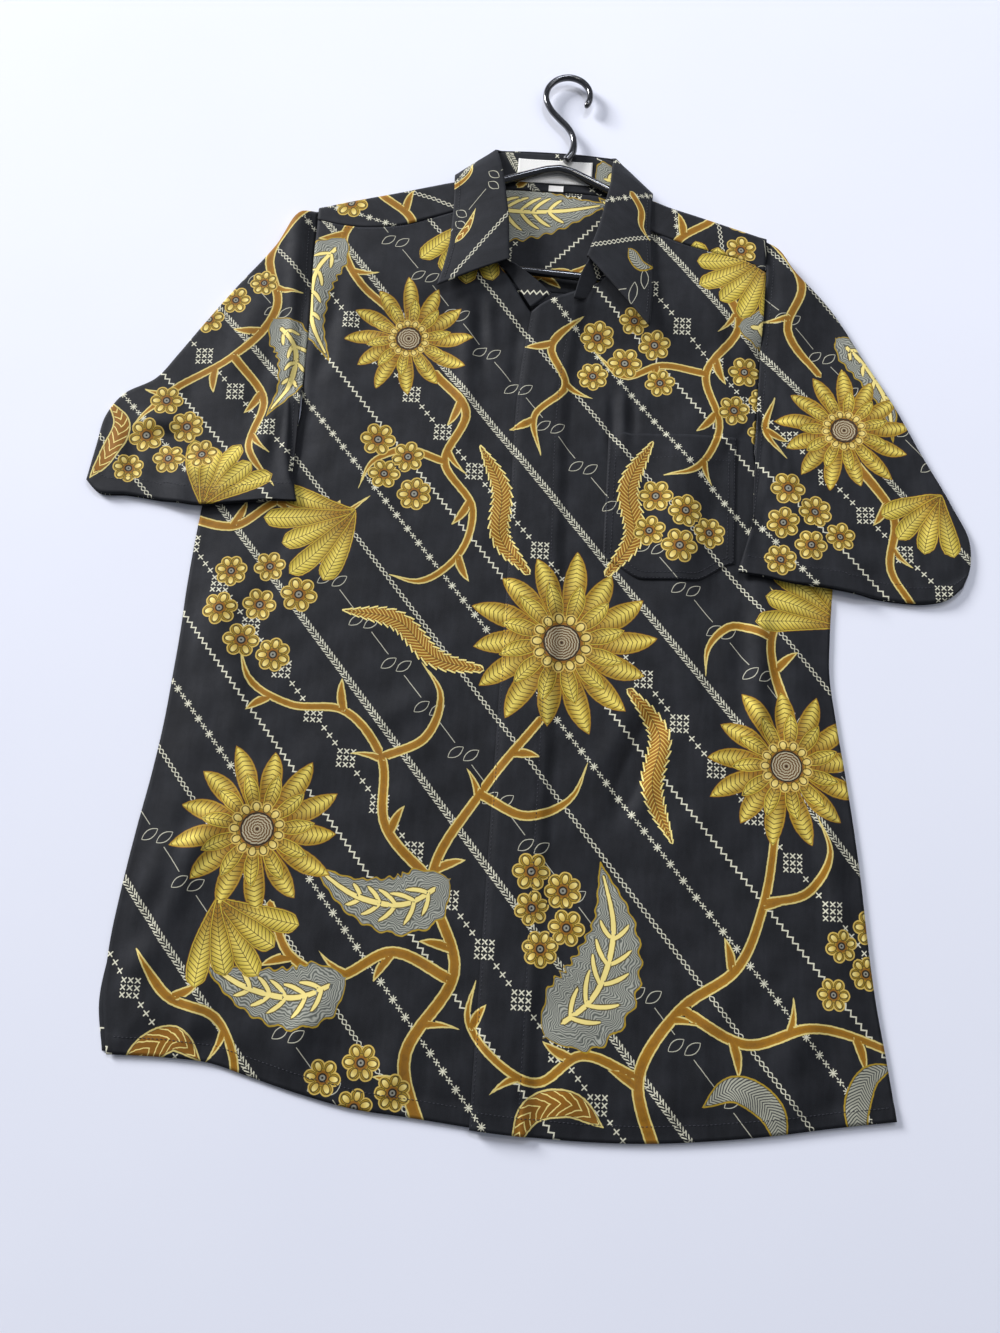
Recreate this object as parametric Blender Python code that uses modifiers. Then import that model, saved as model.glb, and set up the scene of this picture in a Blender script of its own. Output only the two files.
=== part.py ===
"""A short-sleeved batik shirt laid flat on a surface, front side up, with a
tubular plastic hanger left inside it.

The shirt lies along Y, collar towards +Y and hem towards -Y, its back on z = 0.
Every panel is an open surface given its wall by a Solidify modifier.  Sizes in
this file are millimetres until a mesh is made.
"""
import math

import bmesh
import bpy
import numpy as np

MM = 0.001

# ---- driving sizes (mm) ------------------------------------------------------
CLOTH = 1.0  # wall of every cloth panel
GAP = 0.3  # room kept between two pieces
PITCH = CLOTH + GAP  # from one layer of cloth to the next
SEAM = 0.3  # half the room left along a seam
EDGE_TOP = 2 * CLOTH + GAP  # top of the front where it meets the back
LOFT = 3.0  # how far the front rises clear of its edges
LOFT_REACH = 30.0  # over this distance in from the edge
TUBE = 7.0  # hanger tube diameter
TUBE_Z = 7.0  # height of the hanger's axis
OVER_TUBE = 11.9  # top of the front where it lies on the hanger
FLAT_BY_TUBE = 18.0  # the front stays up this far past the hanger
DRAPE = 54.0  # and comes down over this
LAP = 34.0  # the front edges overlap by this much
BUTTON_D, BUTTON_H = 11.0, 1.6
BUTTON_PITCH = 95.0
BUTTONS = 6
SLEEVE_MIN = 2.9  # thinnest flattened sleeve
YOKE_BACK_Y = 262.0  # seam between yoke and back
YOKE_LIFT = 1.5  # the yoke rides over the collar's fall here
NECK_X = 79.0  # neck side, half width
CENTRE_X, CENTRE_Y = -4.16, 39.31  # middle of the whole, moved to the origin

HANGER_X, HANGER_Y, HANGER_TURN = 5.0, 384.5, math.radians(-2.85)
HANGER_SLOPE = math.radians(23.2)
HANGER_DROP = 108.0  # apex to bar
HANGER_END = 16.5  # bend radius at the shoulders

# ---- short tables --------------------------------------------------------------
# side seams, underarm to hem:  y, left x, right x
SIDES = (
    (58, -263.0, 246.0),
    (24, -264.5, 243.5),
    (-30, -265.5, 240.0),
    (-60, -265.0, 239.5),
    (-95, -265.5, 244.0),
    (-135, -266.5, 250.5),
    (-175, -269.5, 256.5),
    (-215, -274.0, 261.5),
    (-260, -278.0, 266.0),
    (-300, -280.0, 271.0),
    (-340, -277.5, 278.0),
    (-377, -269.5, 284.0),
)
LEFT_UNDERARM, RIGHT_UNDERARM = (-263.0, 58.0), (243.5, 24.0)
# lower armhole curves, underarm to the straight of the armhole:  x, y
LEFT_SCOOP = ((-263, 58), (-240, 66), (-219, 78), (-205, 94), (-197.5, 110), (-195.2, 126))
RIGHT_SCOOP = ((243.5, 24), (225, 37), (206, 56), (192, 78), (184, 100), (180.6, 122))
# armhole seam lines, bottom and shoulder:  x, y
LEFT_ARM = ((-193.6, 76.0), (-201.0, 326.0))
RIGHT_ARM = ((178.0, 60.0), (186.5, 323.0))
# hem:  x, y
HEM = (
    (-269.5, -374), (-230, -373), (-195, -374.5), (-168, -381), (-130, -390),
    (-90, -397), (-59, -399), (-13, -402.5), (30, -406), (65, -406.5),
    (110, -405), (155, -400.5), (200, -394), (238, -387), (284, -379.5),
)
# placket edge (free edge of the wearer's left front):  y, x
PLACKET = ((-404, -11.0), (-200, -12.5), (0, -14.0), (195, -15.0), (236, -10.5))
# yoke front seams, armhole to neck side:  x, y
YOKE_LEFT = ((-200.6, 312), (-177, 307.5), (-153, 307), (-130, 311), (-108, 319), (-87, 327), (-79, 330))
YOKE_RIGHT = ((185.4, 288), (171, 296), (140, 304), (109, 313), (90, 320), (79, 324))
# neck edges of the fronts, neck side to front:  x, y
NECK_LEFT = ((-77.5, 330), (-71, 312), (-60, 296), (-47, 284), (-36.5, 272), (-24, 253), (-12, 236), (2, 225.5), (20.5, 219))
NECK_RIGHT = ((-10.5, 236), (1, 245), (19, 254), (36, 262), (50, 275), (61, 289), (71, 307), (77.5, 324))
# shoulder folds:  x, y
SHOULDER = ((-201, 326), (-180, 333), (-133, 347), (-99, 357.5), (-79, 362.5), (79, 357.5), (98, 350.5), (126, 342), (158, 332), (186.5, 323))
# back neck edge of the yoke:  x, y
BACK_NECK = ((-79, 357), (-70, 360.5), (-40, 361.5), (0, 361.5), (40, 361), (66, 357.5), (79, 351.5))
# sleeve outlines:  x, y
LEFT_FOLD = ((-201, 326), (-214, 323), (-235, 288), (-257, 256), (-290, 202), (-304, 178), (-318, 156), (-345, 137), (-355, 118), (-358, 92), (-361, 60))
LEFT_CUFF = ((-187, 52), (-210, 51), (-237, 47.5), (-265, 43.5), (-296, 46), (-325, 49), (-350, 50), (-361, 54))
RIGHT_FOLD = ((186.5, 323), (194, 318), (209, 296), (243, 259), (270, 214), (293, 176), (315, 133), (339, 88), (352, 58), (351, 34), (345, 19))
RIGHT_CUFF = ((167, 18), (185, 16), (210, 12), (240, 10), (264, 6.5), (290, 3.5), (318, 4), (332, 8), (343, 14))
# largest folds of the fronts:  x0, y0, x1, y1, rise, half width
FOLDS = (
    (-62, 240, -52, 100, 1.6, 16),
    (-18, 215, -30, 60, 1.0, 18),
    (81, -178, 112, -92, -1.6, 20),
    (150, 120, 160, -20, -1.1, 18),
    (196, 0, 205, -120, 1.3, 18),
    (-255, -300, -232, -190, 1.0, 18),
    (-120, -150, -60, -360, 0.9, 26),
    (40, -230, 60, -400, 0.8, 22),
    (180, -180, 215, -380, 1.0, 24),
)
# collar stations, left front round the back to right front:
#  neck edge x, y, z;  top edge x, y, z;  free edge of the fall x, y, z
COLLAR = (
    (-11.2, 239.5, 11.2, 5.0, 252.0, 15.0, None),
    (-22.5, 256.0, 11.4, -12.0, 266.0, 16.5, None),
    (-35.0, 273.5, 11.5, -27.0, 276.0, 18.0, None),
    (-43.0, 281.5, 11.6, -34.0, 279.0, 18.6, (-91.5, 251.0, 17.5)),
    (-59.0, 297.5, 11.6, -36.0, 297.0, 18.6, (-87.0, 275.0, 15.6)),
    (-70.2, 313.0, 11.6, -38.0, 321.0, 18.0, (-84.5, 301.0, 14.2)),
    (-76.6, 331.0, 11.6, -42.0, 345.0, 16.6, (-84.5, 325.0, 13.5)),
    (-78.0, 349.0, 11.6, -46.0, 368.0, 14.0, (-85.0, 346.0, 13.4)),
    (-78.0, 359.5, 11.2, -50.5, 386.0, 10.6, (-86.0, 360.0, 12.4)),
    (-78.0, 363.4, 6.6, -53.0, 395.5, 6.0, (-86.5, 369.5, 6.3)),
    (-75.5, 362.0, 2.2, -49.5, 399.6, 2.6, (-79.5, 360.5, 0.6)),
    (-58.0, 362.2, 2.0, -39.0, 401.0, 2.0, (-60.0, 350.5, 0.5)),
    (-30.0, 362.4, 2.0, -22.0, 401.6, 2.0, (-34.0, 346.0, 0.5)),
    (0.0, 362.4, 2.0, 0.0, 401.8, 2.0, (0.0, 345.0, 0.5)),
    (30.0, 362.2, 2.0, 22.0, 401.4, 2.0, (34.0, 345.5, 0.5)),
    (56.0, 360.6, 2.0, 39.0, 400.4, 2.0, (60.0, 348.5, 0.5)),
    (74.5, 356.8, 2.2, 49.5, 398.6, 2.6, (79.5, 355.0, 0.6)),
    (78.0, 357.4, 6.5, 53.0, 394.5, 5.4, (86.5, 362.5, 6.3)),
    (78.0, 353.0, 11.3, 51.5, 382.0, 10.8, (86.5, 355.0, 12.4)),
    (78.0, 344.0, 11.6, 51.0, 366.0, 14.0, (86.0, 342.0, 13.4)),
    (76.6, 325.0, 11.6, 47.5, 343.0, 16.6, (86.0, 318.0, 13.6)),
    (70.4, 308.0, 11.6, 43.5, 320.0, 18.2, (88.0, 292.0, 14.6)),
    (60.2, 291.0, 11.6, 38.5, 300.0, 18.8, (90.0, 262.0, 16.0)),
    (51.0, 279.0, 11.8, 34.5, 285.0, 19.2, (88.0, 225.0, 17.8)),
    (43.0, 268.5, 13.2, 29.0, 271.0, 19.0, None),
    (33.5, 248.5, 14.2, 23.5, 246.0, 18.6, None),
)
# hook centre line, hanger apex to tip:  x, y
HOOK = (
    (9.0, 391.5), (13.5, 398), (15.5, 407), (14, 418), (8.5, 427.5), (0.5, 436), (-7, 445),
    (-12, 457), (-10.5, 469), (-2, 478.5), (9, 481), (19.5, 477), (26, 468.5), (27, 458.5), (24, 450),
)
POCKET = {"left": 60.0, "right": 165.0, "top_left": 131.0, "top_right": 135.5, "deep": 126.0, "corner": 16.0}
LABEL = {"x": 0.5, "y": 382.5, "wide": 66.0, "high": 24.0, "thick": 0.6}
TAG = {"x": 2.5, "y": 365.2, "wide": 13.0, "high": 6.0, "thick": 0.6}


# ---- working functions -------------------------------------------------------------
def ease(t):
    t = np.clip(t, 0.0, 1.0)
    return t * t * (3 - 2 * t)


def along(points, t):
    """Catmull-Rom curve through the points at shares t of its chord length."""
    p = np.array(points, float)
    p = p[np.concatenate([[True], np.linalg.norm(np.diff(p, axis=0), axis=1) > 1e-6])]
    step = np.linalg.norm(np.diff(p, axis=0), axis=1)
    knots = np.concatenate([[0], np.cumsum(step)]) / step.sum()
    tangent = np.gradient(p, knots, axis=0)
    t = np.atleast_1d(np.clip(t, 0, 1))
    i = np.clip(np.searchsorted(knots, t, side="right") - 1, 0, len(p) - 2)
    h = (knots[i + 1] - knots[i])[:, None]
    s = ((t - knots[i])[:, None]) / h
    return (
        (2 * s**3 - 3 * s**2 + 1) * p[i]
        + (s**3 - 2 * s**2 + s) * h * tangent[i]
        + (-2 * s**3 + 3 * s**2) * p[i + 1]
        + (s**3 - s**2) * h * tangent[i + 1]
    )


def value(table, x):
    """Smooth function through rows (x, y) at x."""
    rows = sorted(table)
    xs = np.array([r[0] for r in rows], float)
    ys = np.array([r[1] for r in rows], float)
    slope = np.gradient(ys, xs)
    x = np.clip(np.atleast_1d(np.asarray(x, float)), xs[0], xs[-1])
    i = np.clip(np.searchsorted(xs, x, side="right") - 1, 0, len(xs) - 2)
    h = xs[i + 1] - xs[i]
    s = (x - xs[i]) / h
    return (
        (2 * s**3 - 3 * s**2 + 1) * ys[i]
        + (s**3 - 2 * s**2 + s) * h * slope[i]
        + (-2 * s**3 + 3 * s**2) * ys[i + 1]
        + (s**3 - s**2) * h * slope[i + 1]
    )


def distance(points, x, y):
    """Distance in plan from (x, y) to a polyline."""
    best = np.full(np.shape(x), 1e9)
    for a, b in zip(points[:-1], points[1:]):
        ax, ay = a[0], a[1]
        dx, dy = b[0] - ax, b[1] - ay
        if dx == 0 and dy == 0:
            continue
        s = np.clip(((x - ax) * dx + (y - ay) * dy) / (dx * dx + dy * dy), 0, 1)
        best = np.minimum(best, np.hypot(x - ax - s * dx, y - ay - s * dy))
    return best


def inside(points, x, y):
    """True where (x, y) is inside a closed outline."""
    found = np.zeros(np.shape(x), bool)
    for a, b in zip(points, points[1:] + points[:1]):
        crosses = (a[1] > y) != (b[1] > y)
        with np.errstate(divide="ignore", invalid="ignore"):
            at = (b[0] - a[0]) * (y - a[1]) / (b[1] - a[1] + 1e-12) + a[0]
        found ^= crosses & (x < at)
    return found


def hanger_to_shirt(x, y):
    c, s = math.cos(HANGER_TURN), math.sin(HANGER_TURN)
    return HANGER_X + c * x - s * y, HANGER_Y + s * x + c * y


def hanger_frame():
    """Centre line of the arms and bar, closed, in the shirt's plan."""
    corner = HANGER_DROP / math.tan(HANGER_SLOPE)
    reach = HANGER_END / math.tan(HANGER_SLOPE / 2)
    cx, cy = corner - reach, -HANGER_DROP + HANGER_END
    right = [(12.0, -4.2)]
    right += [
        (cx + HANGER_END * math.cos(a), cy + HANGER_END * math.sin(a))
        for a in np.linspace(math.pi / 2 - HANGER_SLOPE, -math.pi / 2, 9)
    ]
    half = [(0.0, -1.6)] + right
    loop = half + [(-x, y) for x, y in reversed(half[1:])]
    return [hanger_to_shirt(x, y) for x, y in loop]


FRAME_LOOP = hanger_frame()
UNDER_EDGE_LEFT = [tuple(p) for p in along(LEFT_SCOOP, np.linspace(1, 0, 9))]
UNDER_EDGE_RIGHT = [tuple(p) for p in along(RIGHT_SCOOP, np.linspace(0, 1, 9))]
LEFT_SIDE = [(r[1], r[0]) for r in SIDES]
RIGHT_SIDE = [(246.0, 40.0)] + [(r[2], r[0]) for r in SIDES[1:]]
OPEN_EDGE = UNDER_EDGE_LEFT + LEFT_SIDE[1:-1] + list(HEM) + RIGHT_SIDE[::-1][1:-1] + UNDER_EDGE_RIGHT
BODY_OUTLINE = OPEN_EDGE + [(186.5, 330), (0, 362), (-201, 330)]


def drape(x, y):
    """How far the hanger lifts the cloth, 0 to 1."""
    d = distance(FRAME_LOOP + FRAME_LOOP[:1], x, y)
    d = np.where(inside(FRAME_LOOP, x, y), 0.0, d)
    return ease(1 - np.maximum(d - FLAT_BY_TUBE, 0) / DRAPE)


def folds(x, y):
    rise = np.zeros(np.shape(x))
    for x0, y0, x1, y1, up, wide in FOLDS:
        dx, dy = x1 - x0, y1 - y0
        long = math.hypot(dx, dy)
        s = ((x - x0) * dx + (y - y0) * dy) / long**2
        across = ((x - x0) * dy - (y - y0) * dx) / long
        ends = np.clip(np.minimum(s, 1 - s) * 2 + 0.35, 0, 1)
        rise += up * ease(ends) * np.exp(-((across / wide) ** 2))
    return rise


def front_top(x, y):
    """Top of the cloth over the body."""
    x, y = np.asarray(x, float), np.asarray(y, float)
    e = distance(OPEN_EDGE, x, y)
    near = np.exp(-(np.hypot(x - LEFT_UNDERARM[0], y - LEFT_UNDERARM[1]) / 80) ** 2)
    near += np.exp(-(np.hypot(x - RIGHT_UNDERARM[0], y - RIGHT_UNDERARM[1]) / 80) ** 2)
    loft = LOFT * ease(e / LOFT_REACH) * (1 - 0.75 * np.clip(near, 0, 1))
    low = EDGE_TOP + loft + folds(x, y) * ease(e / 25)
    return low + (OVER_TUBE - low) * drape(x, y)


def placket_x(y):
    return value(PLACKET, y)


def placket_rise(x, y):
    """The wearer's left front over the right one: layer, buttons, then down."""
    d = np.asarray(x) - placket_x(y).reshape(np.shape(x))
    over = PITCH + (BUTTON_H + GAP) * ease((d + 2) / 9)
    return over * (1 - ease((d - LAP - 3) / 14))


def left_front_top(x, y):
    return front_top(x, y) + placket_rise(x, y)


def yoke_lift(x, y):
    return YOKE_LIFT * ease((y - 322) / 16) * ease((104 - np.abs(x)) / 12)


def coons(bottom, top, left, right, rows, cols):
    """Plan grid between four edges, each a function of 0..1 giving points."""
    s, t = np.asarray(cols), np.asarray(rows)
    b, c = bottom(s), top(s)
    l, r = left(t), right(t)
    S, T = s[None, :, None], t[:, None, None]
    corners = (1 - S) * (1 - T) * b[0] + S * (1 - T) * b[-1] + (1 - S) * T * c[0] + S * T * c[-1]
    return (1 - S) * l[:, None] + S * r[:, None] + (1 - T) * b[None] + T * c[None] - corners


def joined(first, second, share):
    """Two curves end to end; the first takes this share of 0..1."""

    def at(t):
        t = np.atleast_1d(t)
        out = np.empty((len(t), 2))
        one = t <= share
        if one.any():
            out[one] = along(first, t[one] / share)
        if (~one).any():
            out[~one] = along(second, (t[~one] - share) / (1 - share))
        return out

    return at


def with_heights(plan, height):
    return np.dstack([plan, height(plan[..., 0], plan[..., 1])])


# ---- making objects ------------------------------------------------------------------
for old in list(bpy.data.objects):
    bpy.data.objects.remove(old, do_unlink=True)
collection = bpy.data.collections.new("batik_shirt_on_hanger")
bpy.context.scene.collection.children.link(collection)


def finish(name, colour, roughness, metallic=0.0):
    m = bpy.data.materials.new(name)
    m.use_nodes = True
    bsdf = m.node_tree.nodes["Principled BSDF"]
    bsdf.inputs["Base Color"].default_value = (*colour, 1)
    bsdf.inputs["Roughness"].default_value = roughness
    bsdf.inputs["Metallic"].default_value = metallic
    return m


def place(points):
    """Shirt millimetres to metres about the origin."""
    p = np.array(points, float)
    p = p - np.array([CENTRE_X, CENTRE_Y, 0.0])
    return p * MM


def surface(name, grid, material, wall, side, ring=False):
    """A grid of points as an open surface with a wall; side -1 puts the wall behind it."""
    rows, cols = grid.shape[:2]
    mesh = bpy.data.meshes.new(name)
    bm = bmesh.new()
    p = place(grid.reshape(-1, 3))
    verts = [bm.verts.new(v) for v in p]
    wrap = cols if ring else cols - 1
    for i in range(rows - 1):
        for j in range(wrap):
            k = (j + 1) % cols
            bm.faces.new((verts[i * cols + j], verts[i * cols + k], verts[(i + 1) * cols + k], verts[(i + 1) * cols + j]))
    bm.to_mesh(mesh)
    bm.free()
    return walled(name, mesh, material, wall, side)


def walled(name, mesh, material, wall, side):
    mesh.materials.append(material)
    mesh.shade_smooth()
    ob = bpy.data.objects.new(name, mesh)
    collection.objects.link(ob)
    solid = ob.modifiers.new("wall", "SOLIDIFY")
    solid.thickness = wall * MM
    solid.offset = side
    solid.use_rim = True
    return ob


def tube(name, points, material, cyclic=False):
    curve = bpy.data.curves.new(name, "CURVE")
    curve.dimensions = "3D"
    curve.bevel_depth = TUBE / 2 * MM
    curve.bevel_resolution = 2
    curve.use_fill_caps = not cyclic
    spline = curve.splines.new("POLY")
    p = place([(x, y, TUBE_Z) for x, y in points])
    spline.points.add(len(p) - 1)
    for point, co in zip(spline.points, p):
        point.co = (*co, 1)
    spline.use_cyclic_u = cyclic
    curve.materials.append(material)
    ob = bpy.data.objects.new(name, curve)
    collection.objects.link(ob)
    return ob


batik = finish("batik_cotton", (0.02, 0.022, 0.03), 0.75)
inner_batik = finish("batik_cotton_collar", (0.025, 0.027, 0.035), 0.72)
plastic = finish("black_plastic", (0.01, 0.01, 0.012), 0.3)
button_plastic = finish("black_button", (0.015, 0.015, 0.018), 0.35)
white_tape = finish("white_label", (0.85, 0.84, 0.82), 0.8)

# fronts -----------------------------------------------------------------------------
ROWS = np.linspace(0, 1, 27)
COLS = np.linspace(0, 1, 13)


def shifted(points, dx=0.0, dy=0.0):
    return [(p[0] + dx, p[1] + dy) for p in points]


def arm_line(line, low, high, dx):
    """Points on an armhole seam between two heights, moved sideways."""
    (x0, y0), (x1, y1) = line
    ys = np.linspace(low, high, 8)
    return [(x0 + (x1 - x0) * (y - y0) / (y1 - y0) + dx, y) for y in ys]


left_side_up = LEFT_SIDE[::-1]
left_arm_up = list(LEFT_SCOOP[:-1]) + arm_line(LEFT_ARM, 126, 312 - SEAM, SEAM)
left_hem = [p for p in HEM if p[0] < 18] + [(23, -405.5)]
right_front = coons(
    bottom=lambda s: along(left_hem, s),
    top=joined([(p[0], p[1] - SEAM) for p in YOKE_LEFT], [(p[0] - 1.5, p[1] - SEAM) for p in NECK_LEFT], 0.46),
    left=joined([(-269.5, -374)] + left_side_up[1:], left_arm_up, 0.62),
    right=lambda t: np.stack([placket_x(-405.5 + t * (219 + 405.5)) + LAP, -405.5 + t * (219 + 405.5)], 1),
    rows=ROWS,
    cols=COLS,
)
surface("front_right", with_heights(right_front, front_top), batik, CLOTH, -1)

right_arm_up = list(RIGHT_SCOOP[:-1]) + arm_line(RIGHT_ARM, 122, 288 - SEAM, -SEAM)
right_hem = [(-11, -404)] + [p for p in HEM if p[0] > 20]
left_front = coons(
    bottom=lambda s: along(right_hem, s),
    top=joined([(p[0] + (1.2 if p[1] > 246 else 0), p[1] - SEAM) for p in NECK_RIGHT], [(p[0], p[1] - SEAM) for p in YOKE_RIGHT[::-1]], 0.54),
    left=lambda t: np.stack([placket_x(-404 + t * (236 + 404)), -404 + t * (236 + 404)], 1),
    right=joined(RIGHT_SIDE[::-1][:-1] + [(243.5, 24)], right_arm_up, 0.60),
    rows=ROWS,
    cols=np.concatenate([[0, 0.035, 0.075, 0.12, 0.17, 0.235], np.linspace(0.31, 1, 9)]),
)
surface("front_left", with_heights(left_front, left_front_top), batik, CLOTH, -1)

# back: the shirt rests on it ------------------------------------------------------------
BACK_IN = 1.0
back_left = joined(
    [(p[0] + BACK_IN - 5.0 * float(ease((-290 - p[1]) / 60.0)), p[1]) for p in [(-269.5, -372)] + left_side_up[1:]],
    shifted(list(LEFT_SCOOP[:-1]), 0.6, -0.6) + arm_line(LEFT_ARM, 126, YOKE_BACK_Y - SEAM, SEAM),
    0.64,
)
back_right = joined(
    shifted(RIGHT_SIDE[::-1][:-1] + [(243.5, 24)], -BACK_IN),
    shifted(list(RIGHT_SCOOP[:-1]), -0.6, -0.6) + arm_line(RIGHT_ARM, 122, YOKE_BACK_Y - SEAM, -SEAM),
    0.60,
)
back_hem = [(back_left(0.0)[0][0], back_left(0.0)[0][1])] + [(x, y + 3) for x, y in HEM[1:-1]] + [(back_right(0.0)[0][0], back_right(0.0)[0][1])]
back = coons(
    bottom=lambda s: along(back_hem, s),
    top=lambda s: np.stack([back_left(1.0)[0][0] + s * (back_right(1.0)[0][0] - back_left(1.0)[0][0]), np.full(len(s), YOKE_BACK_Y - SEAM)], 1),
    left=back_left,
    right=back_right,
    rows=np.linspace(0, 1, 21),
    cols=np.linspace(0, 1, 15),
)
surface("back", with_heights(back, lambda x, y: x * 0.0)[:, ::-1], batik, CLOTH, -1)

# yoke: front strips, over the shoulders and down the back -----------------------------------
FOLD_STEPS = 6
BACK_STEPS = 5
FRONT_STEPS = 2


def yoke_mesh():
    xs = [-200.6 + 0.6, -190, -172, -152, -130, -110, -95, -87, -NECK_X]
    xs += [-70, -52, -26, 0, 26, 52, 66, NECK_X, 87, 95, 109, 126, 142, 158, 174, 185.6 - 0.6]
    seam = list(YOKE_LEFT) + list(YOKE_RIGHT)
    mesh = bpy.data.meshes.new("yoke")
    bm = bmesh.new()
    columns = []
    for x in xs:
        outer = abs(x) >= NECK_X
        ys = float(value(SHOULDER, x)[0])
        column = []
        if outer:
            y0 = float(value(seam, x)[0]) + SEAM
            top = float(front_top(x, ys - 8))
            low = float(yoke_lift(x, ys - 8))
            r = (top - low) / 2
            flat = ys - r
            for k in range(FRONT_STEPS + 1):
                y = y0 + (flat - y0) * k / FRONT_STEPS
                z = float(front_top(x, y)) if k < FRONT_STEPS else top
                column.append((x, y, z))
            for k in range(1, FOLD_STEPS):
                a = math.pi / 2 - math.pi * k / FOLD_STEPS
                column.append((x, flat + r * math.cos(a), low + r + r * math.sin(a)))
            start = flat
        else:
            start = float(value(BACK_NECK, x)[0])
        for share in (0.0, 0.12, 0.24, 0.38, 0.66, 1.0):
            y = start + (YOKE_BACK_Y + SEAM - start) * share
            column.append((x, y, float(yoke_lift(x, y))))
        # the sides follow the armhole seams
        moved = []
        for px, py, pz in column:
            if x < -195:
                px = float(np.interp(py, [76, 326], [LEFT_ARM[0][0], LEFT_ARM[1][0]])) + SEAM
            elif x > 180:
                px = float(np.interp(py, [60, 323], [RIGHT_ARM[0][0], RIGHT_ARM[1][0]])) - SEAM
            moved.append((px, py, pz))
        columns.append([bm.verts.new(v) for v in place(moved)])
    for a, b in zip(columns[:-1], columns[1:]):
        n = min(len(a), len(b))
        a, b = a[-n:], b[-n:]
        for i in range(n - 1):
            bm.faces.new((a[i], a[i + 1], b[i + 1], b[i]))
    bmesh.ops.reverse_faces(bm, faces=bm.faces[:])
    bm.to_mesh(mesh)
    bm.free()
    return mesh


walled("yoke", yoke_mesh(), batik, CLOTH, -1)


# sleeves: flattened tubes ------------------------------------------------------------------
def sleeve(arm, fold, cuff, dx, join_y):
    """Rows run from armhole to cuff; each row is a closed ring, top layer then under layer."""
    a = (arm[0][0] + dx, arm[0][1])
    s = (arm[1][0] + dx, arm[1][1])
    armhole = lambda u: np.stack([a[0] + (s[0] - a[0]) * u, a[1] + (s[1] - a[1]) * u], 1)
    outer = [s] + list(fold[1:])
    tip = fold[-1]
    cuff_line = list(cuff[:-1]) + [tip]
    inner = lambda v: np.stack([a[0] + (cuff[0][0] - a[0]) * v, a[1] + (cuff[0][1] - a[1]) * v], 1)
    v = np.linspace(0, 1, 12)
    u = np.array([0.0, 0.012, 0.035, 0.08, 0.2, 0.34, 0.48, 0.62, 0.76, 0.88, 0.95, 0.983, 1.0])
    plan = coons(
        bottom=armhole,
        top=lambda q: along(cuff_line, q),
        left=inner,
        right=lambda q: along(outer, q),
        rows=v,
        cols=u,
    )
    x, y = plan[..., 0], plan[..., 1]
    within = distance(OPEN_EDGE, x, y) * np.where(inside(BODY_OUTLINE, x, y), 1, -1)
    lower = ease((within + 36) / 22) * ease((join_y + 46 - y) / 26)
    under = lower * (front_top(x, y) + 0.9)
    low = EDGE_TOP + LOFT
    top = low + (OVER_TUBE - low) * drape(x, y)
    edge_u = np.minimum(u, 1 - u)[None, :]
    top = np.maximum(top - 1.6 * ease((v - 0.3) / 0.7)[:, None], under + SLEEVE_MIN + 1.0 * ease(edge_u * 4))
    width = np.linalg.norm(plan[:, -1] - plan[:, 0], axis=1)[:, None]
    half = (top - under) / 2
    d = np.minimum(u, 1 - u)[None, :] * width
    round_ = np.sqrt(np.clip(1 - (1 - np.clip(d / half, 0, 1)) ** 2, 0, 1))
    mid = under + half
    upper = np.dstack([plan, mid + half * round_])
    below = np.dstack([plan, mid - half * round_])
    ring = np.concatenate([upper, below[:, -2:0:-1]], axis=1)
    return ring


left_ring = sleeve(LEFT_ARM, LEFT_FOLD, LEFT_CUFF, -SEAM, 126)
surface("sleeve_right", left_ring, batik, CLOTH, -1, ring=True)
right_ring = sleeve(RIGHT_ARM, RIGHT_FOLD, RIGHT_CUFF, SEAM, 122)
surface("sleeve_left", right_ring[:, ::-1], batik, CLOTH, -1, ring=True)


# collar ------------------------------------------------------------------------------------
STATIONS = [0, 1, 2, 3, 4, 5, 6, 7, 7.5, 8, 8.5, 9, 9.5, 10, 10.5, 11, 12, 13]
STATIONS += [14, 15, 15.5, 16, 16.5, 17, 17.5, 18, 18.5, 19, 20, 21, 22, 23, 24, 25]
FALL_FROM, FALL_TO = 3, 23
REST_Z = CLOTH / 2 + 0.06  # the back leaf lies on the surface


def between(rows, q):
    """Rows of a table read at fractional row numbers, with no overshoot."""
    rows = np.array(rows, float)
    step = np.diff(rows, axis=0)
    a, b = step[:-1], step[1:]
    with np.errstate(divide="ignore", invalid="ignore"):
        inner = np.where(a * b > 0, 2 * a * b / (a + b), 0.0)
    slope = np.vstack([step[:1], inner, step[-1:]])
    q = np.asarray(q, float)
    i = np.clip(q.astype(int), 0, len(rows) - 2)
    s = (q - i)[:, None]
    return (
        (2 * s**3 - 3 * s**2 + 1) * rows[i]
        + (s**3 - 2 * s**2 + s) * slope[i]
        + (-2 * s**3 + 3 * s**2) * rows[i + 1]
        + (s**3 - s**2) * slope[i + 1]
    )


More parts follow.
